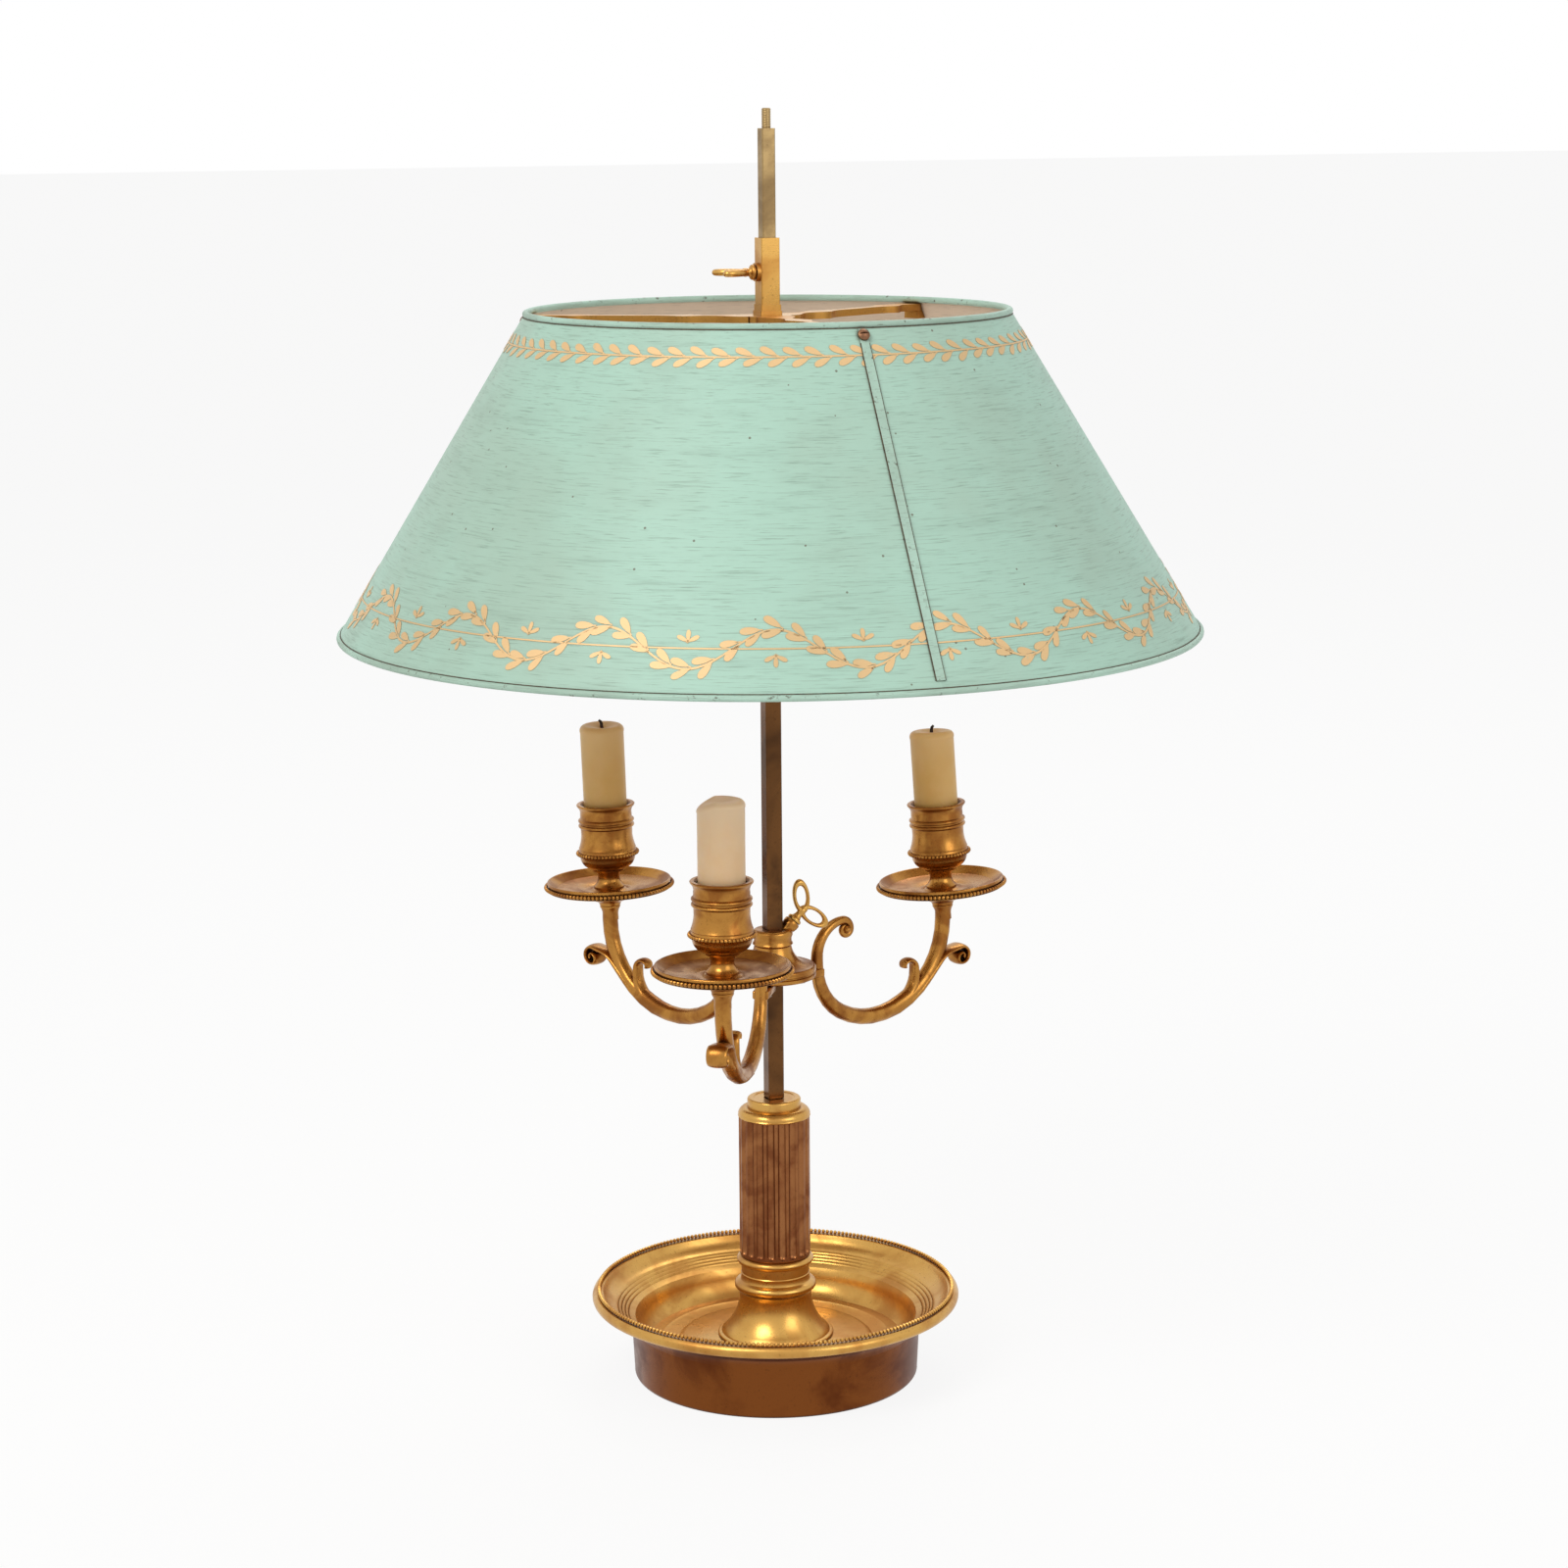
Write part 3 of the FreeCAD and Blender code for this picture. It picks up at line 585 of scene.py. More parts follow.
def make_base():
    lip = base_height / MM + 1.0
    r = base_radius / MM
    drum = r - 20.2
    foot = drum - 3.0
    floor = foot_low.z / MM - 2.5
    wall = drum - 2.2
    grooves = []
    for i in range(4):
        gr = r - 12.6 - i * 1.75
        gz = lip - 8.6 - i * 1.15
        grooves += [(gr, gz), (gr - 0.35, gz - 0.75), (gr - 0.7, gz - 0.35), (gr - 1.5, gz - 0.85)]
    dish = spun("dish", closed([
        (drum + 0.4, lip * 0.60), (drum + 2.0, lip * 0.68, drum + 6.0, lip * 0.755),
        (r - 6.0, lip - 7.6), (r - 3.0, lip - 6.8), (r, lip - 3.6, r - 1.6, lip - 1.0),
        (r - 5.4, lip - 1.3), (r - 5.9, lip - 2.3), (r - 7.6, lip - 5.2, r - 11.8, lip - 8.0)]
        + grooves + [
        (wall + 0.9, lip - 14.0), (wall + 0.2, lip - 15.4), (wall - 0.6, lip - 17.5),
        (wall - 1.6, floor + 6.0, wall - 6.2, floor), (wall * 0.83, floor),
        (wall * 0.825, floor + 0.5), (wall * 0.80, floor + 0.1), (wall * 0.70, floor),
        (wall * 0.685, floor + 0.9), (wall * 0.655, floor + 1.4), (wall * 0.56, floor + 1.4),
        (wall * 0.50, floor + 2.5), (BORE, floor + 2.5), (BORE, floor - 0.4),
        (wall - 7.0, floor - 1.6), (drum - 0.9, floor + 5.0)]), 160)
    finish(dish, "stand", (GILT, DRUM))
    # Painted shade: the dish's downward faces under the lip take the darker drum brass.
    for polygon in dish.data.polygons:
        reach = polygon.center.xy.length / MM
        polygon.material_index = 1 if polygon.normal.z < -0.1 and reach < r - 2.2 else 0
    skirt = spun("drum", closed([
        (foot - 6.5, 0), (foot, 0), (foot + 1.6, 0.6, foot + 2.2, 2.4), (drum, lip * 0.42),
        (drum + 0.3, lip * 0.62), (drum - 0.6, lip * 0.62), (drum - 0.9, floor + 5.0),
        (foot - 2.6, floor - 4.6), (foot - 2.6, 4.5), (foot - 6.5, 2.5)]), 160)
    finish(skirt, "stand", DRUM, ("base_dish",))
    under = spun("dish_underside", closed([
        (wall - 4.0, floor - 1.7), (BORE, floor - 0.5), (BORE, floor - 2.6),
        (wall - 4.0, floor - 2.6)]), 96)
    finish(under, "stand", DRUM)
    ring = r - 3.4
    beads = bead_row("lip_beads", 258, ring * MM, (lip + 0.22) * MM, 1.02 * MM, 1.05)
    seat = spun("lip_bead_seat", closed([
        (ring - 1.8, lip - 2.2), (ring - 1.6, lip - 1.1), (ring, lip - 0.95),
        (ring + 1.5, lip - 1.0), (ring + 1.9, lip - 2.2)]), 160)
    finish(join([seat, beads], "lip_beading"), "stand", GILT, ("base_bead_ring",))


def make_foot():
    r = COLUMN
    s = foot_low.z / MM
    t = foot_high.z / MM
    foot = spun("bell_foot", [
        (BORE, s), (r + 10.8, s), (r + 11.2, s + 0.8, r + 10.4, s + 1.7), (r + 9.4, s + 1.9),
        (r + 9.2, s + 2.5), (r + 2.8, s + 10.6, r + 0.2, s + 22.6), (r + 0.5, s + 23.2),
        (r, s + 23.7), (r + 0.6, s + 24.1), (r + 2.6, s + 26.4, r + 0.4, s + 28.8),
        (r - 0.4, s + 29.3), (r - 0.9, s + 31.0), (r - 0.6, t - 0.4), (r - 0.9, t), (BORE, t)])
    finish(foot, "stand", GILT, ("column_foot",))


def make_shaft():
    r = COLUMN
    low = shaft_low.z / MM
    high = shaft_high.z / MM
    core = spun("fluted_shaft", closed([
        (BORE, low + 8.8), (r - 0.7, low + 8.8), (r - 0.2, low + 9.6), (r - 0.2, high - 4.6),
        (BORE, high - 4.6)]), 120)
    count = 20
    width = math.pi * r / count * 0.80
    bottom = low + 12.4
    top = high - 5.6
    clear_selection()
    bpy.ops.mesh.primitive_uv_sphere_add(segments=16, ring_count=8, radius=width * MM,
                                         location=(0, -(r + 0.5) * MM, bottom * MM))
    flute = bake_place(bpy.context.object)
    for v in flute.data.vertices:
        if v.co.z > (bottom + 0.001) * MM:
            v.co.z += (top - bottom) * MM
    place(flute, Matrix.Rotation(math.pi / count, 4, "Z"))
    cut_with(core, ring_of(flute, count, "flute_cutters"))
    finish(core, "stand", COPPER, ("column_shaft",), 30.0)
    ring = spun("shaft_ring", [
        (BORE, low), (r - 0.9, low), (r - 0.9, low + 4.4), (r - 0.2, low + 4.8),
        (r + 1.3, low + 6.6, r - 0.2, low + 8.6), (r - 1.0, low + 8.9), (BORE, low + 8.9)])
    finish(ring, "stand", GILT)
    shoulder = spun("shaft_shoulder", [
        (BORE, high - 4.7), (r - 0.1, high - 4.7), (r + 0.2, high - 4.3), (r - 0.1, high - 3.8),
        (r + 0.1, high - 3.2), (r - 1.2, high - 0.9, r - 4.4, high), (BORE, high)])
    finish(shoulder, "stand", GILT)
    c = cap_high.x / MM
    top = cap_high.z / MM
    cap = spun("shaft_cap", [
        (BORE, high), (c - 0.1, high), (c, top - 1.4), (c - 0.2, top - 0.5, c - 1.3, top),
        (c - 3.0, top), (c - 3.3, top - 0.35), (BORE, top - 0.35)])
    finish(cap, "stand", GILT, ("column_cap",))


# Rods

def make_stud_thread():
    """Ridges of the finial thread on the bare stud."""
    low = (stud_high.z - 9.3 * MM) / MM
    outline = [(1.7, low)]
    pitch = 1.15
    for i in range(8):
        z = low + pitch * i
        outline += [(1.75, z + 0.15), (2.22, z + 0.45), (2.22, z + 0.7), (1.75, z + pitch)]
    outline.append((1.6, low + pitch * 8))
    thread = spun("stud_thread", outline, 32)
    finish(thread, "stand", OLD_ROD, (), 60.0)


# Cluster

def curve_path(x, z, heading, steps, degrees_a_point=9.0):
    """Points of a curve in the XZ plane: arcs of (radius, turn in degrees), left positive,
    or straight runs of (length, 0)."""
    path = [(x, z)]
    for size, turn in steps:
        h = math.radians(heading)
        if turn == 0:
            x += math.cos(h) * size
            z += math.sin(h) * size
            path.append((x, z))
            continue
        radius = math.copysign(size, turn)
        count = max(3, int(abs(turn) / degrees_a_point))
        cx = x - math.sin(h) * radius
        cz = z + math.cos(h) * radius
        for i in range(1, count + 1):
            g = math.radians(heading + turn * i / count)
            path.append((cx + math.sin(g) * radius, cz - math.cos(g) * radius))
        x, z = path[-1]
        heading += turn
    return path


def tapered(path, halves, breadths=(1.0, 1.0)):
    """Stations of a limb, its half thickness and breadth eased through evenly spread values."""
    lengths = [0.0]
    for a, b in zip(path, path[1:]):
        lengths.append(lengths[-1] + math.hypot(b[0] - a[0], b[1] - a[1]))
    stations = []
    for (x, z), along in zip(path, lengths):
        eased = []
        for values in (halves, breadths):
            t = along / lengths[-1] * (len(values) - 1)
            i = min(int(t), len(values) - 2)
            eased.append(values[i] + (values[i + 1] - values[i]) * (t - i))
        stations.append((x, z, eased[0], eased[1]))
    return stations


def scroll_stations():
    """Stations along the C-scroll on the CAD centre line, from its rolled eye to the pan."""
    z0 = hub_low.z / MM
    path = curve_path(47.9, z0 + 17.0, 90.0, (
        (1.6, 180.0), (2.9, 180.0), (5.0, 90.0), (17.0, 90.0), (4.0, 0.0), (30.0, 60.0),
        (45.0, 55.0), (4.2, 0.0), (42.0, 65.0)))
    path.append((path[-1][0], z0 + 16.0))
    return tapered(path, (1.3, 1.9, 2.6, 3.1, 3.5, 3.9, 4.1, 4.2, 4.1, 4.0, 4.0, 4.0))


def branch_matrix(azimuth):
    """Turns a piece built in the XZ plane to its branch."""
    return Matrix.Rotation(math.radians(azimuth - 90.0), 4, "Z")


def seat_matrix(azimuth, lean):
    """Carries a piece built round the Z axis at height 0 onto an arm's leaning seat."""
    pivot = at(REACH, azimuth, ARM_SEAT)
    axis = Vector((math.sin(VIEW_AZIMUTH), -math.cos(VIEW_AZIMUTH), 0))
    return Matrix.Translation(pivot) @ Matrix.Rotation(math.radians(lean), 4, axis)


def make_eye(z0):
    """Button at the heart of the scroll."""
    clear_selection()
    bpy.ops.mesh.primitive_uv_sphere_add(segments=16, ring_count=10, radius=2.2 * MM,
                                         location=Vector((46.9, 0, z0 + 17.2)) * MM)
    eye = bpy.context.object
    eye.scale = (1.0, 1.75, 1.0)
    return bake_place(eye)


def make_inner_leaf(z0):
    """Leaf that parts from the top of the scroll and curls back towards the hub."""
    path = curve_path(66.0, z0 - 31.0, 0.0, (
        (45.0, 25.0), (15.0, 68.0), (2.6, 0.0), (4.4, 115.0), (2.0, 95.0)))
    halves = (2.4, 3.4, 3.4, 2.9, 2.2, 1.4, 0.9)
    breadths = (1.0, 1.15, 1.2, 1.3, 1.6, 2.3, 3.2)
    return round_limb("inner_leaf", tapered(path, halves, breadths), 18)


def make_outer_leaf(z0):
    """Leaf that hugs the underside, then rolls outwards into a broad volute; with its path."""
    path = curve_path(58.0, z0 - 33.2, 0.0, (
        (6.0, 0.0), (52.0, 48.0), (10.0, 0.0), (12.0, -38.0), (7.0, 0.0), (4.3, -190.0),
        (2.7, -170.0), (1.5, -150.0)))
    halves = (1.0, 2.2, 2.7, 2.6, 2.3, 1.8, 1.4, 1.2, 1.1)
    breadths = (1.0, 1.35, 1.5, 1.6, 1.9, 2.8, 3.6, 4.0, 4.2)
    return round_limb("outer_leaf", tapered(path, halves, breadths), 18), path


def make_chasing(path, count=27, size=0.62, lift=0.9, apart=3.55):
    """Small grains along both edges of a leaf, evenly spread over a path's points."""
    grains = []
    for i in range(count):
        t = i / (count - 1.0) * (len(path) - 1)
        j = min(int(t), len(path) - 2)
        start = Vector((path[j][0], 0, path[j][1]))
        step = Vector((path[j + 1][0], 0, path[j + 1][1])) - start
        ahead = step.normalized()
        spot = start + step * (t - j) + Vector((-ahead.z, 0, ahead.x)) * lift
        for hand in (-1, 1):
            clear_selection()
            bpy.ops.mesh.primitive_ico_sphere_add(
                subdivisions=1, radius=size * MM,
                location=(spot + Vector((0, apart * hand, 0))) * MM)
            grains.append(bake_place(bpy.context.object))
    return grains


def make_lug(z0):
    """Flat tongue that the arm is screwed to the hub by."""
    clear_selection()
    bpy.ops.mesh.primitive_cube_add(size=1.0, location=Vector((21.25, 0, z0 - 2.1)) * MM)
    lug = bpy.context.object
    lug.scale = Vector((18.5, 8.0, 4.15)) * MM
    bake_place(lug)
    edge = lug.modifiers.new("round", "BEVEL")
    edge.width = 0.7 * MM
    edge.segments = 3
    apply_modifiers(lug)
    return lug


def make_arm(name, azimuth, lean):
    z0 = hub_low.z / MM
    tube = round_limb("scroll", scroll_stations(), 20)
    eye = make_eye(z0)
    inner = make_inner_leaf(z0)
    outer, outer_path = make_outer_leaf(z0)
    chasing = make_chasing(outer_path[1:8])
    lug = make_lug(z0)
    arm = join([tube, eye, inner, outer, lug] + chasing, "scroll_arm_" + name)
    place(arm, branch_matrix(azimuth))
    collar = spun("arm_collar", [
        (0.01, -8.0), (4.1, -8.0), (4.1, -6.0), (4.4, -3.0, 5.0, -1.6), (5.3, -0.8, 5.0, -0.05),
        (0.01, -0.05)], 32)
    place(collar, seat_matrix(azimuth, lean))
    arm = join([arm, collar], "scroll_arm_" + name)
    finish(arm, "cluster", ANTIQUE, ("arm_" + name,), 45.0)


def make_pan(name, azimuth, lean):
    r = PAN_RADIUS
    pan = spun("drip_pan_" + name, closed([
        (2.5, 0), (5.4, 0), (5.9, 1.4), (8.4, 2.6, 13.0, 4.4), (r * 0.64, 6.6, r - 3.2, 8.5),
        (r - 1.6, 8.7), (r - 1.3, 9.0), (r - 2.1, 9.6), (r - 2.1, 11.4), (r - 1.6, 11.8),
        (r - 1.5, 12.6), (r - 1.9, 13.2, r - 2.6, 13.0), (r - 3.3, 12.1), (r * 0.82, 10.2),
        (r * 0.805, 9.7), (r * 0.78, 9.6), (r * 0.60, 8.9), (r * 0.42, 8.4), (r * 0.40, 8.0),
        (9.8, 8.0), (9.2, 8.3), (8.0, 9.0), (2.5, 9.0)]), 120)
    beads = bead_row("pan_beads", 98, (r - 0.85) * MM, 10.4 * MM, 1.05 * MM)
    pan = join([pan, beads], "drip_pan_" + name)
    place(pan, seat_matrix(azimuth, lean))
    finish(pan, "cluster", ANTIQUE, ("pan_" + name,))


def make_cup(name, azimuth, lean):
    s = CUP_SEAT
    b = CUP_BORE
    cup = spun("candle_cup_" + name, [
        (0.01, -5.0), (2.45, -5.0), (2.45, s + 0.05), (7.8, s + 0.05), (7.9, s + 1.0),
        (6.9, s + 2.0), (5.6, s + 5.0, 6.2, s + 8.2), (6.6, s + 8.8), (7.9, s + 9.1),
        (8.1, s + 10.0), (7.6, s + 10.3), (12.4, s + 12.4, 14.2, s + 16.8), (14.6, s + 17.4),
        (14.9, s + 18.2), (14.8, s + 19.8), (14.5, s + 20.6), (14.7, s + 21.3), (14.4, s + 22.0),
        (b + 1.6, s + 25.0, b + 1.2, s + 28.0), (b + 1.3, s + 31.8), (b + 2.0, s + 32.3),
        (b + 2.4, s + 33.0, b + 2.0, s + 33.8), (b + 1.5, s + 34.1), (b + 1.5, s + 34.7),
        (b + 2.1, s + 35.0), (b + 2.4, s + 35.7, b + 2.0, s + 36.4), (b + 1.3, s + 36.9),
        (b + 1.3, s + 39.0), (b + 1.6, s + 41.6, b + 2.8, s + 43.2), (b + 3.0, s + 43.9),
        (b + 2.6, s + 44.35), (b + 1.0, s + 44.3), (b, s + 43.0), (b, CUP_FLOOR),
        (0.01, CUP_FLOOR)], 96)
    beads = bead_row("cup_beads", 52, 15.3 * MM, (s + 18.6) * MM, 1.05 * MM)
    cup = join([cup, beads], "candle_cup_" + name)
    place(cup, seat_matrix(azimuth, lean))
    finish(cup, "cluster", ANTIQUE, ("cup_" + name,))


def make_candle(name, azimuth, lean, length):
    """Worn candle. The front one has burnt down on one side and shows no wick."""
    low = CUP_FLOOR
    r = WAX_RADIUS
    top = low + length
    body = "candle_" + name + "_body"
    seat = seat_matrix(azimuth, lean)
    stick = spun("wax_candle_" + name, [
        (0.01, low), (r - 0.6, low), (r, low + 0.8), (r, low + length * 0.35),
        (r - 0.05, low + length * 0.7), (r, top - 4.0), (r - 0.5, top - 1.0, r - 3.0, top - 0.1),
        (r * 0.5, top - 0.5), (r * 0.25, top - 1.3), (0.01, top - 1.5)], 48)
    random.seed(len(name) * 7 + 3)
    phase = random.random() * 6.28
    for v in stick.data.vertices:
        turn = math.atan2(v.co.y, v.co.x)
        height = (v.co.z / MM - low) / length
        dent = 1.0 + 0.012 * math.sin(3 * turn + phase) * height
        dent -= 0.010 * max(0.0, math.sin(turn * 2 + phase * 2 + height * 5.0))
        v.co.x *= dent
        v.co.y *= dent
        if name == "front":
            side = (v.co.x * math.cos(VIEW_AZIMUTH) + v.co.y * math.sin(VIEW_AZIMUTH)) / MM
            burnt = (max(0.0, height - 0.6) * 2.5) ** 2 * max(0.0, -3.0 - side)
            v.co.z -= burnt * 0.42 * MM
        else:
            v.co.z += 0.45 * MM * math.sin(turn + phase) * max(0.0, height - 0.8) * 5.0
    place(stick, seat)
    finish(stick, body, PALE_WAX if name == "front" else WAX, ("candle_" + name,), 60.0)
    if name == "front":
        return
    hand = 1 if name == "right" else -1
    wick = round_limb("burnt_wick_" + name, [
        (0, top - 2.0, 0.9, 1.0), (0.1 * hand, top + 0.4, 0.85, 1.0),
        (0.5 * hand, top + 1.6, 0.75, 1.0), (1.4 * hand, top + 2.4, 0.6, 1.0)], 10)
    place(wick, seat)
    finish(wick, body, BURNT, ("wick_" + name,), 60.0)


def make_hub():
    low = hub_low.z / MM
    r = 21.5
    c = 9.9
    bore = 8.5 * MM
    hub = spun("hub_bell", closed([
        (0.5, low), (r - 1.6, low), (r - 0.5, low + 0.4, r, low + 1.4), (r, low + 2.2),
        (r - 0.7, low + 2.7), (r - 0.7, low + 3.1), (r, low + 3.6), (r, low + 5.0),
        (r - 0.3, low + 6.0, r - 1.4, low + 6.3), (r - 3.0, low + 6.4),
        (c + 2.6, low + 9.6, c - 0.6, low + 16.2), (c - 0.2, low + 16.8), (c + 0.2, low + 17.2),
        (c, low + 17.8), (c - 0.5, low + 18.6), (c - 0.4, low + 20.6), (c + 0.1, low + 21.6),
        (c + 0.1, low + 22.8), (c - 0.6, low + 24.2, c - 1.8, low + 24.6), (0.5, low + 24.6)]), 96)
    cut_with(hub, square_block(bore, hub_low.z - 10 * MM, hub_low.z + 40 * MM))
    boss = spun("key_boss", [
        (2.1, 9.2), (3.6, 9.2), (3.5, 11.0), (3.9, 12.0), (4.1, 13.2), (4.1, 14.8),
        (3.7, 15.4), (2.1, 15.5)], 40)
    place(boss, CLUSTER_KEY_PLACE)
    hub = join([hub, boss], "hub_bell")
    finish(hub, "cluster", ANTIQUE, ("cluster_hub",))


def oval_loop(half_length, half_width, wire, centre, tilt):
    """Wire ring in the XZ plane, drawn out along its tilted axis."""
    clear_selection()
    mean = (half_length + half_width) / 2
    bpy.ops.mesh.primitive_torus_add(major_segments=40, minor_segments=12,
                                     major_radius=mean * MM, minor_radius=wire * MM,
                                     location=(0, 0, 0), rotation=(math.pi / 2, 0, 0))
    ring = bake_place(bpy.context.object)
    place(ring, Matrix.Diagonal((half_width / mean, 1.15, half_length / mean, 1)))
    place(ring, Matrix.Translation(Vector(centre) * MM) @ Matrix.Rotation(tilt, 4, "Y"))
    return ring


def make_key(name, body, node, matrix, shank_from, shoulder, join_at, spread):
    """Bow of two open loops on a shouldered screw, built along +Z and laid on its axis; spread
    holds the loops' tilts in degrees, and the levels are measured from the rod's centre."""
    reach = 6.9
    parts = [spun("key_stem", [
        (0.01, shank_from), (1.95, shank_from), (1.95, shoulder), (3.5, shoulder),
        (3.7, shoulder + 0.8, 3.3, shoulder + 1.6), (2.6, shoulder + 1.9),
        (1.9, shoulder + 3.4, 2.0, join_at - 1.4), (2.0, join_at, 1.2, join_at + 1.4),
        (0.01, join_at + 1.6)], 32)]
    for turn in spread:
        tilt = math.radians(turn)
        centre = (reach * math.sin(tilt), 0, join_at + reach * math.cos(tilt))
        parts.append(oval_loop(7.2, 3.5, 1.35, centre, tilt))
    key = join(parts, name)
    place(key, matrix)
    finish(key, body, GILT, (node,), 50.0)


# Shade

def make_shade():
    """Sheet with its green outside and buff lining, and the two rolled edges."""
    wall = 0.935
    rt, rb = TOP_RADIUS / MM, BOTTOM_RADIUS / MM
    zt, zb = SHADE_TOP / MM, SHADE_LEVEL / MM

    def side(share, inset=0.0):
        return (rb + (rt - rb) * share - inset, zb + (zt - zb) * share)

    sheet = spun("shade_sheet", closed([
        side(0), side(0.25), side(0.5), side(0.75), side(1), side(1, wall), side(0.5, wall),
        side(0, wall)]), 192)
    finish(sheet, "shade", (GREEN, INSIDE), ("shade_cone",), 40.0)
    for polygon in sheet.data.polygons:
        polygon.material_index = 1 if faces_rod(polygon) else 0
    inset = SHEET / 2 + 0.1 * MM
    for name, radius, level, roll, node in (
            ("top_roll", TOP_RADIUS, SHADE_TOP, TOP_ROLL, "shade_top_rim"),
            ("bottom_roll", BOTTOM_RADIUS, SHADE_LEVEL, BOTTOM_ROLL, "shade_bottom_rim")):
        clear_selection()
        bpy.ops.mesh.primitive_torus_add(major_segments=192, minor_segments=14,
                                         major_radius=radius - inset, minor_radius=roll,
                                         location=(0, 0, level))
        rim = bake_place(bpy.context.object)
        rim.name = name
        finish(rim, "shade", GREEN_TRIM, (node,), 60.0)


def on_cone(azimuth, slant, lift):
    """Point on the shade: azimuth in radians, distance down the slant from the top, lift off it."""
    share = slant / SHADE_SIDE
    radius = TOP_RADIUS + SHADE_SPREAD * share + lift * SHADE_FALL / SHADE_SIDE
    height = SHADE_TOP - SHADE_FALL * share + lift * SHADE_SPREAD / SHADE_SIDE
    return Vector((radius * math.sin(azimuth), -radius * math.cos(azimuth), height))


def radius_at(slant):
    return TOP_RADIUS + SHADE_SPREAD * slant / SHADE_SIDE


def painted_leaf(length, width):
    """One brushed leaf in the XY plane, pointing along +X from its stalk at the origin and
    broadest near its tip."""
    clear_selection()
    bpy.ops.mesh.primitive_circle_add(vertices=14, radius=0.5, fill_type="TRIFAN",
                                      location=(0.5, 0, 0))
    leaf = bake_place(bpy.context.object)
    for v in leaf.data.vertices:
        v.co.y *= 0.55 + 0.62 * v.co.x
        v.co.y += 0.10 * v.co.x * (1 - v.co.x)
        v.co.x *= length
        v.co.y *= width
    clear_selection()
    bpy.ops.mesh.primitive_plane_add(size=1.0)
    stalk = bpy.context.object
    stalk.scale = (length * 0.3, width * 0.16, 1)
    bake_place(stalk)
    return join([leaf, stalk], "brushed_leaf")


def on_shade(piece, azimuth, slant, turn, name):
    """Copy of a flat brushed shape, laid on the shade; turn is measured from level, in radians."""
    twin = twin_of(piece)
    twin.name = name
    radius = radius_at(slant)
    c, s = math.cos(turn), math.sin(turn)
    for v in twin.data.vertices:
        along = v.co.x * c - v.co.y * s
        down = v.co.x * s + v.co.y * c
        v.co = on_cone(azimuth + along / radius, slant + down, PAINT_LIFT)
    return twin


def painted_line(name, slant, width, wave=None):
    """Brushed line round the shade; wave gives the slant added at an azimuth."""
    clear_selection()
    bpy.ops.mesh.primitive_circle_add(vertices=360, radius=0.1)
    line = bpy.context.object
    line.name = name
    set_mode("EDIT", "SELECT")
    bpy.ops.mesh.extrude_region_move(TRANSFORM_OT_translate={"value": (0, 0, -0.05)})
    set_mode("OBJECT")
    for v in line.data.vertices:
        azimuth = math.atan2(v.co.x, -v.co.y)
        down = slant + (wave(azimuth) if wave else 0.0)
        down += width / 2 if v.co.z < -0.01 else -width / 2
        v.co = on_cone(azimuth, down, PAINT_LIFT)
    return line


def finish_garland(pieces, name, sheet, paint=GOLD):
    """Joins brushed shapes, lays them on the sheet and gives them the thickness of paint."""
    garland = join(pieces, name)
    face_outwards(garland)
    cling = garland.modifiers.new("cling", "SHRINKWRAP")
    cling.target = sheet
    cling.wrap_mode = "ABOVE_SURFACE"
    cling.offset = 0.12 * MM
    thick = garland.modifiers.new("paint", "SOLIDIFY")
    thick.thickness = 0.09 * MM
    thick.offset = 1.0
    apply_modifiers(garland)
    finish(garland, "shade", paint, (), 60.0)


def make_top_garland(sheet, leaf):
    """Laurel below the top rim, its leaves all pointing the same way round."""
    stem = 15.2 * MM
    pairs = 74
    pieces = [painted_line("laurel_stem", stem, 0.8 * MM)]
    for i in range(pairs):
        azimuth = 2 * math.pi * (i + random.uniform(-0.05, 0.05)) / pairs
        for side in (-1, 1):
            turn = math.pi - side * math.radians(random.uniform(20, 30))
            ahead = 0.03 if side > 0 else 0.0
            pieces.append(on_shade(leaf, azimuth + ahead, stem + side * STALK_GAP, turn, "laurel"))
    finish_garland(pieces, "top_garland", sheet)


def make_bottom_garland(sheet, small, large, petal):
    """Level line with a waving branch over it, and a sprig in every hollow of the wave."""
    line = 156.2 * MM
    waves = 16
    swing = 9.4 * MM
    phase = 4.1
    leaves = waves * 8

    def wave(azimuth):
        return swing * math.sin(waves * azimuth + phase)

    pieces = [painted_line("level_line", line, 0.7 * MM),
              painted_line("branch_line", line + 0.4 * MM, 1.1 * MM, wave)]
    for i in range(leaves):
        azimuth = 2 * math.pi * (i + random.uniform(-0.14, 0.14)) / leaves
        slope = swing * waves * math.cos(waves * azimuth + phase) / radius_at(line)
        for side in (-1, 1):
            turn = math.pi + math.atan(slope) - side * math.radians(random.uniform(15, 27))
            leaf = large if random.random() < 0.6 else small
            slant = line + wave(azimuth) + side * STALK_GAP
            pieces.append(on_shade(leaf, azimuth, slant, turn, "branch_leaf"))
    for i in range(waves * 2):
        azimuth = (math.pi * (i + 0.5) - phase) / waves
        up = 1 if wave(azimuth) > 0 else -1
        for spread in (-62, 0, 62):
            turn = -up * math.pi / 2 + math.radians(spread)
            pieces.append(on_shade(petal, azimuth, line - up * 3.2 * MM, turn, "petal"))
    finish_garland(pieces, "bottom_garland", sheet)


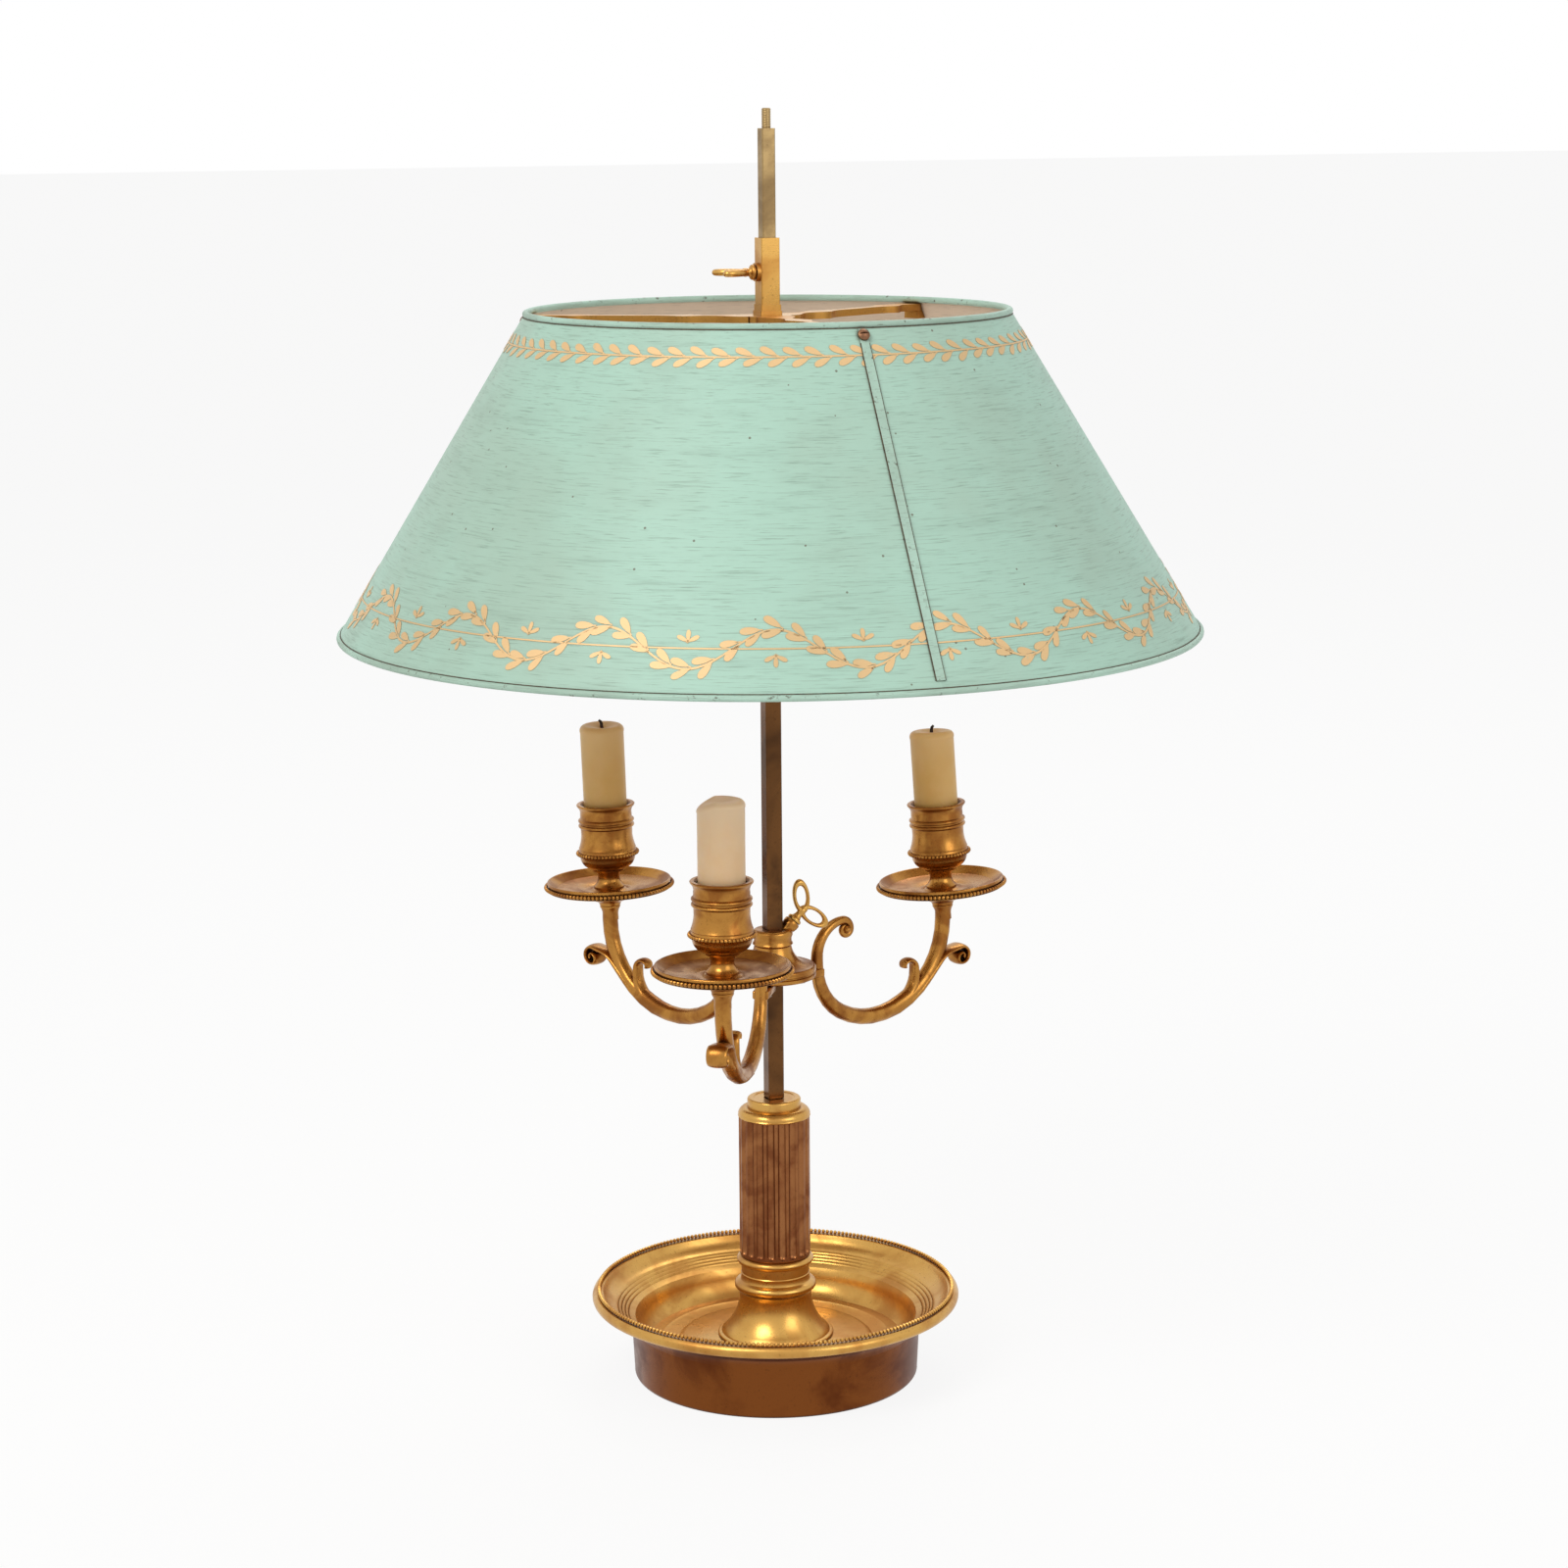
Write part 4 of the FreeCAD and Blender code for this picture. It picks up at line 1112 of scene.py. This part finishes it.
def make_painting():
    """Gold garlands, then painted shade lines along both rolled edges."""
    random.seed(11)
    sheet = bpy.data.objects["shade_sheet"]
    small = painted_leaf(8.3 * MM, 3.7 * MM)
    large = painted_leaf(8.9 * MM, 4.0 * MM)
    petal = painted_leaf(5.6 * MM, 2.3 * MM)
    make_top_garland(sheet, small)
    make_bottom_garland(sheet, small, large, petal)
    for shape in (small, large, petal):
        bpy.data.objects.remove(shape)
    # Painted shade: a thin dark line just under the top rim and one just above the bottom rim.
    painted_shade_and_wear = [painted_line("top_rim_shade_line", 1.6 * MM, 0.4 * MM),
            painted_line("bottom_rim_shade_line", SHADE_SIDE - 1.9 * MM, 0.4 * MM)]
    finish_garland(painted_shade_and_wear, "rim_shade_lines", sheet, PAINTED_SHADOW)


def make_seams():
    """Lapped strips down the shade with painted shadow along their open edges, ending square above
    the rim.
    """
    half_width = 2.4 * MM
    dark_from = 0.86
    places = (-1.0, -0.98, -dark_from, -0.3, 0.3, dark_from, 0.98, 1.0)
    columns = len(places) - 1
    for name, azimuth, node in (
            ("front_lap", 0.0, "seam_front"), ("back_lap", math.pi, "seam_back")):
        clear_selection()
        bpy.ops.mesh.primitive_grid_add(x_subdivisions=columns, y_subdivisions=24, size=1.0)
        strip = bpy.context.object
        strip.name = name
        for v in strip.data.vertices:
            down = 0.5 - v.co.y
            across = places[int(round((v.co.x + 0.5) * columns))]
            slant = 2.2 * MM + down * (SHADE_SIDE - 7.5 * MM)
            half = half_width * min(1.0, 0.80 + down * 3.0)
            lift = 0.7 * MM if abs(across) < 0.99 else 0.05 * MM
            v.co = on_cone(azimuth + across * half / radius_at(slant), slant, lift)
        face_outwards(strip)
        thick = strip.modifiers.new("sheet", "SOLIDIFY")
        thick.thickness = 0.5 * MM
        thick.offset = -1.0
        apply_modifiers(strip)
        finish(strip, "shade", (GREEN_TRIM, PAINTED_SHADOW), (node,), 30.0)
        side = Vector((math.cos(azimuth), math.sin(azimuth), 0))
        # The strip's outer cells take the dark paint: painted shadow along the lap edges.
        for polygon in strip.data.polygons:
            across = abs(polygon.center.dot(side)) / half_width
            polygon.material_index = 1 if across > dark_from else 0


# Floor, light and camera

def background_rays(tree):
    """1 for the rays that see the background: from the camera, by reflection or through glass."""
    paths = tree.nodes.new("ShaderNodeLightPath")
    camera, glossy, through = (
        paths.outputs["Is " + kind + " Ray"] for kind in ("Camera", "Glossy", "Transmission"))
    return arithmetic(tree, "MAXIMUM", arithmetic(tree, "MAXIMUM", camera, glossy), through)


def background_swap(tree, output, lit, seen, amount=1.0):
    """Shows background rays another surface than the one that lights and is lit."""
    mix = add_node(tree, "MixShader", {
        0: scaled(tree, background_rays(tree), amount), 1: lit, 2: seen})
    feed(tree, tree.nodes[output], {"Surface": mix.outputs["Shader"]})


def make_floor():
    """Pale floor that is bleached towards white in the picture and still takes a shadow."""
    clear_selection()
    bpy.ops.mesh.primitive_plane_add(size=60.0, location=(0, 0, 0))
    floor = bpy.context.object
    floor.name = "floor"
    material, tree, shader = new_material("pale_floor")[:3]
    feed(tree, shader, {"Base Color": (0.86, 0.86, 0.86, 1), "Roughness": 0.9})
    white = add_node(tree, "Emission", {"Color": (1, 1, 1, 1)})
    background_swap(tree, "Material Output", shader.outputs["BSDF"],
                    white.outputs["Emission"], 0.88)
    floor.data.materials.append(material)


def make_world():
    """White to the camera and in reflections, and a dimmer, warmer light on the lamp."""
    world = bpy.data.worlds.new("studio")
    bpy.context.scene.world = world
    world.use_nodes = True
    tree = world.node_tree
    light = tree.nodes["Background"]
    feed(tree, light, {"Color": (1.0, 0.98, 0.95, 1), "Strength": 0.5})
    back = add_node(tree, "Background", {"Color": (1, 1, 1, 1), "Strength": 1.0})
    background_swap(tree, "World Output", light.outputs["Background"],
                    back.outputs["Background"])


def make_light(name, azimuth, elevation, distance, size, power, colour=(1, 1, 1)):
    """Soft box aimed at the lamp, its azimuth in degrees from the camera's."""
    a = VIEW_AZIMUTH + math.radians(azimuth)
    e = math.radians(elevation)
    aim = Vector((0, 0, 0.32))
    away = Vector((math.sin(a) * math.cos(e), -math.cos(a) * math.cos(e), math.sin(e)))
    data = bpy.data.lights.new(name, "AREA")
    data.shape = "RECTANGLE"
    data.size, data.size_y = size
    data.energy = power
    data.color = colour
    lamp = bpy.data.objects.new(name, data)
    bpy.context.collection.objects.link(lamp)
    lamp.location = aim + away * distance
    lamp.rotation_mode = "QUATERNION"
    lamp.rotation_quaternion = away.to_track_quat("Z", "Y")


def make_camera():
    data = bpy.data.cameras.new("view")
    data.lens = VIEW_FOCAL
    data.sensor_width = SENSOR_WIDTH
    data.shift_x = VIEW_SHIFT
    camera = bpy.data.objects.new("view", data)
    bpy.context.collection.objects.link(camera)
    bpy.context.scene.camera = camera
    a, p = VIEW_AZIMUTH, VIEW_PITCH
    back = Vector((math.sin(a) * math.cos(p), -math.cos(a) * math.cos(p), math.sin(p)))
    right = Vector((math.cos(a), math.sin(a), 0))
    up = back.cross(right)
    c, s = math.cos(VIEW_ROLL), math.sin(VIEW_ROLL)
    right, up = right * c + up * s, up * c - right * s
    turn = Matrix((right, up, back)).transposed().to_4x4()
    foot = Vector((math.sin(a) * VIEW_DISTANCE, -math.cos(a) * VIEW_DISTANCE, VIEW_HEIGHT))
    camera.matrix_world = Matrix.Translation(foot) @ turn


make_base()
make_foot()
make_shaft()
make_stud_thread()
make_hub()
for branch, azimuth, lean, length in BRANCHES:
    make_arm(branch, azimuth, lean)
    make_pan(branch, azimuth, lean)
    make_cup(branch, azimuth, lean)
for branch, azimuth, lean, length in BRANCHES:
    make_candle(branch, azimuth, lean, length)
make_key("cluster_bow_key", "cluster_thumb_key", "cluster_key", CLUSTER_KEY_PLACE,
         9.1, 15.8, 23.0, (-53.0, 80.0))
make_key("shade_bow_key", "shade_thumb_key", "shade_key", SHADE_KEY_PLACE,
         3.7, 6.9, 12.0, (-36.0, 36.0))
make_shade()
make_seams()
make_painting()

# CAD pieces that are kept, with the finishes they wear
for node, material in (
        ("main_rod", ROD), ("upper_rod", OLD_ROD), ("base_washer", STEEL), ("base_nut", STEEL),
        ("arm_screws", STEEL), ("shade_spider", GILT), ("shade_sleeve", GILT),
        ("spider_screws", SCREW)):
    for spot in NODES[node].material_slots:
        spot.material = material

make_floor()
make_world()
make_light("key", -38, 42, 2.4, (1.1, 1.1), 26.0, (1.0, 0.98, 0.95))
make_light("fill", 48, 22, 2.6, (1.4, 1.4), 13.0)
make_light("rim", 168, 48, 2.6, (1.4, 0.8), 14.0)
make_camera()
bpy.context.scene.view_settings.view_transform = "Standard"
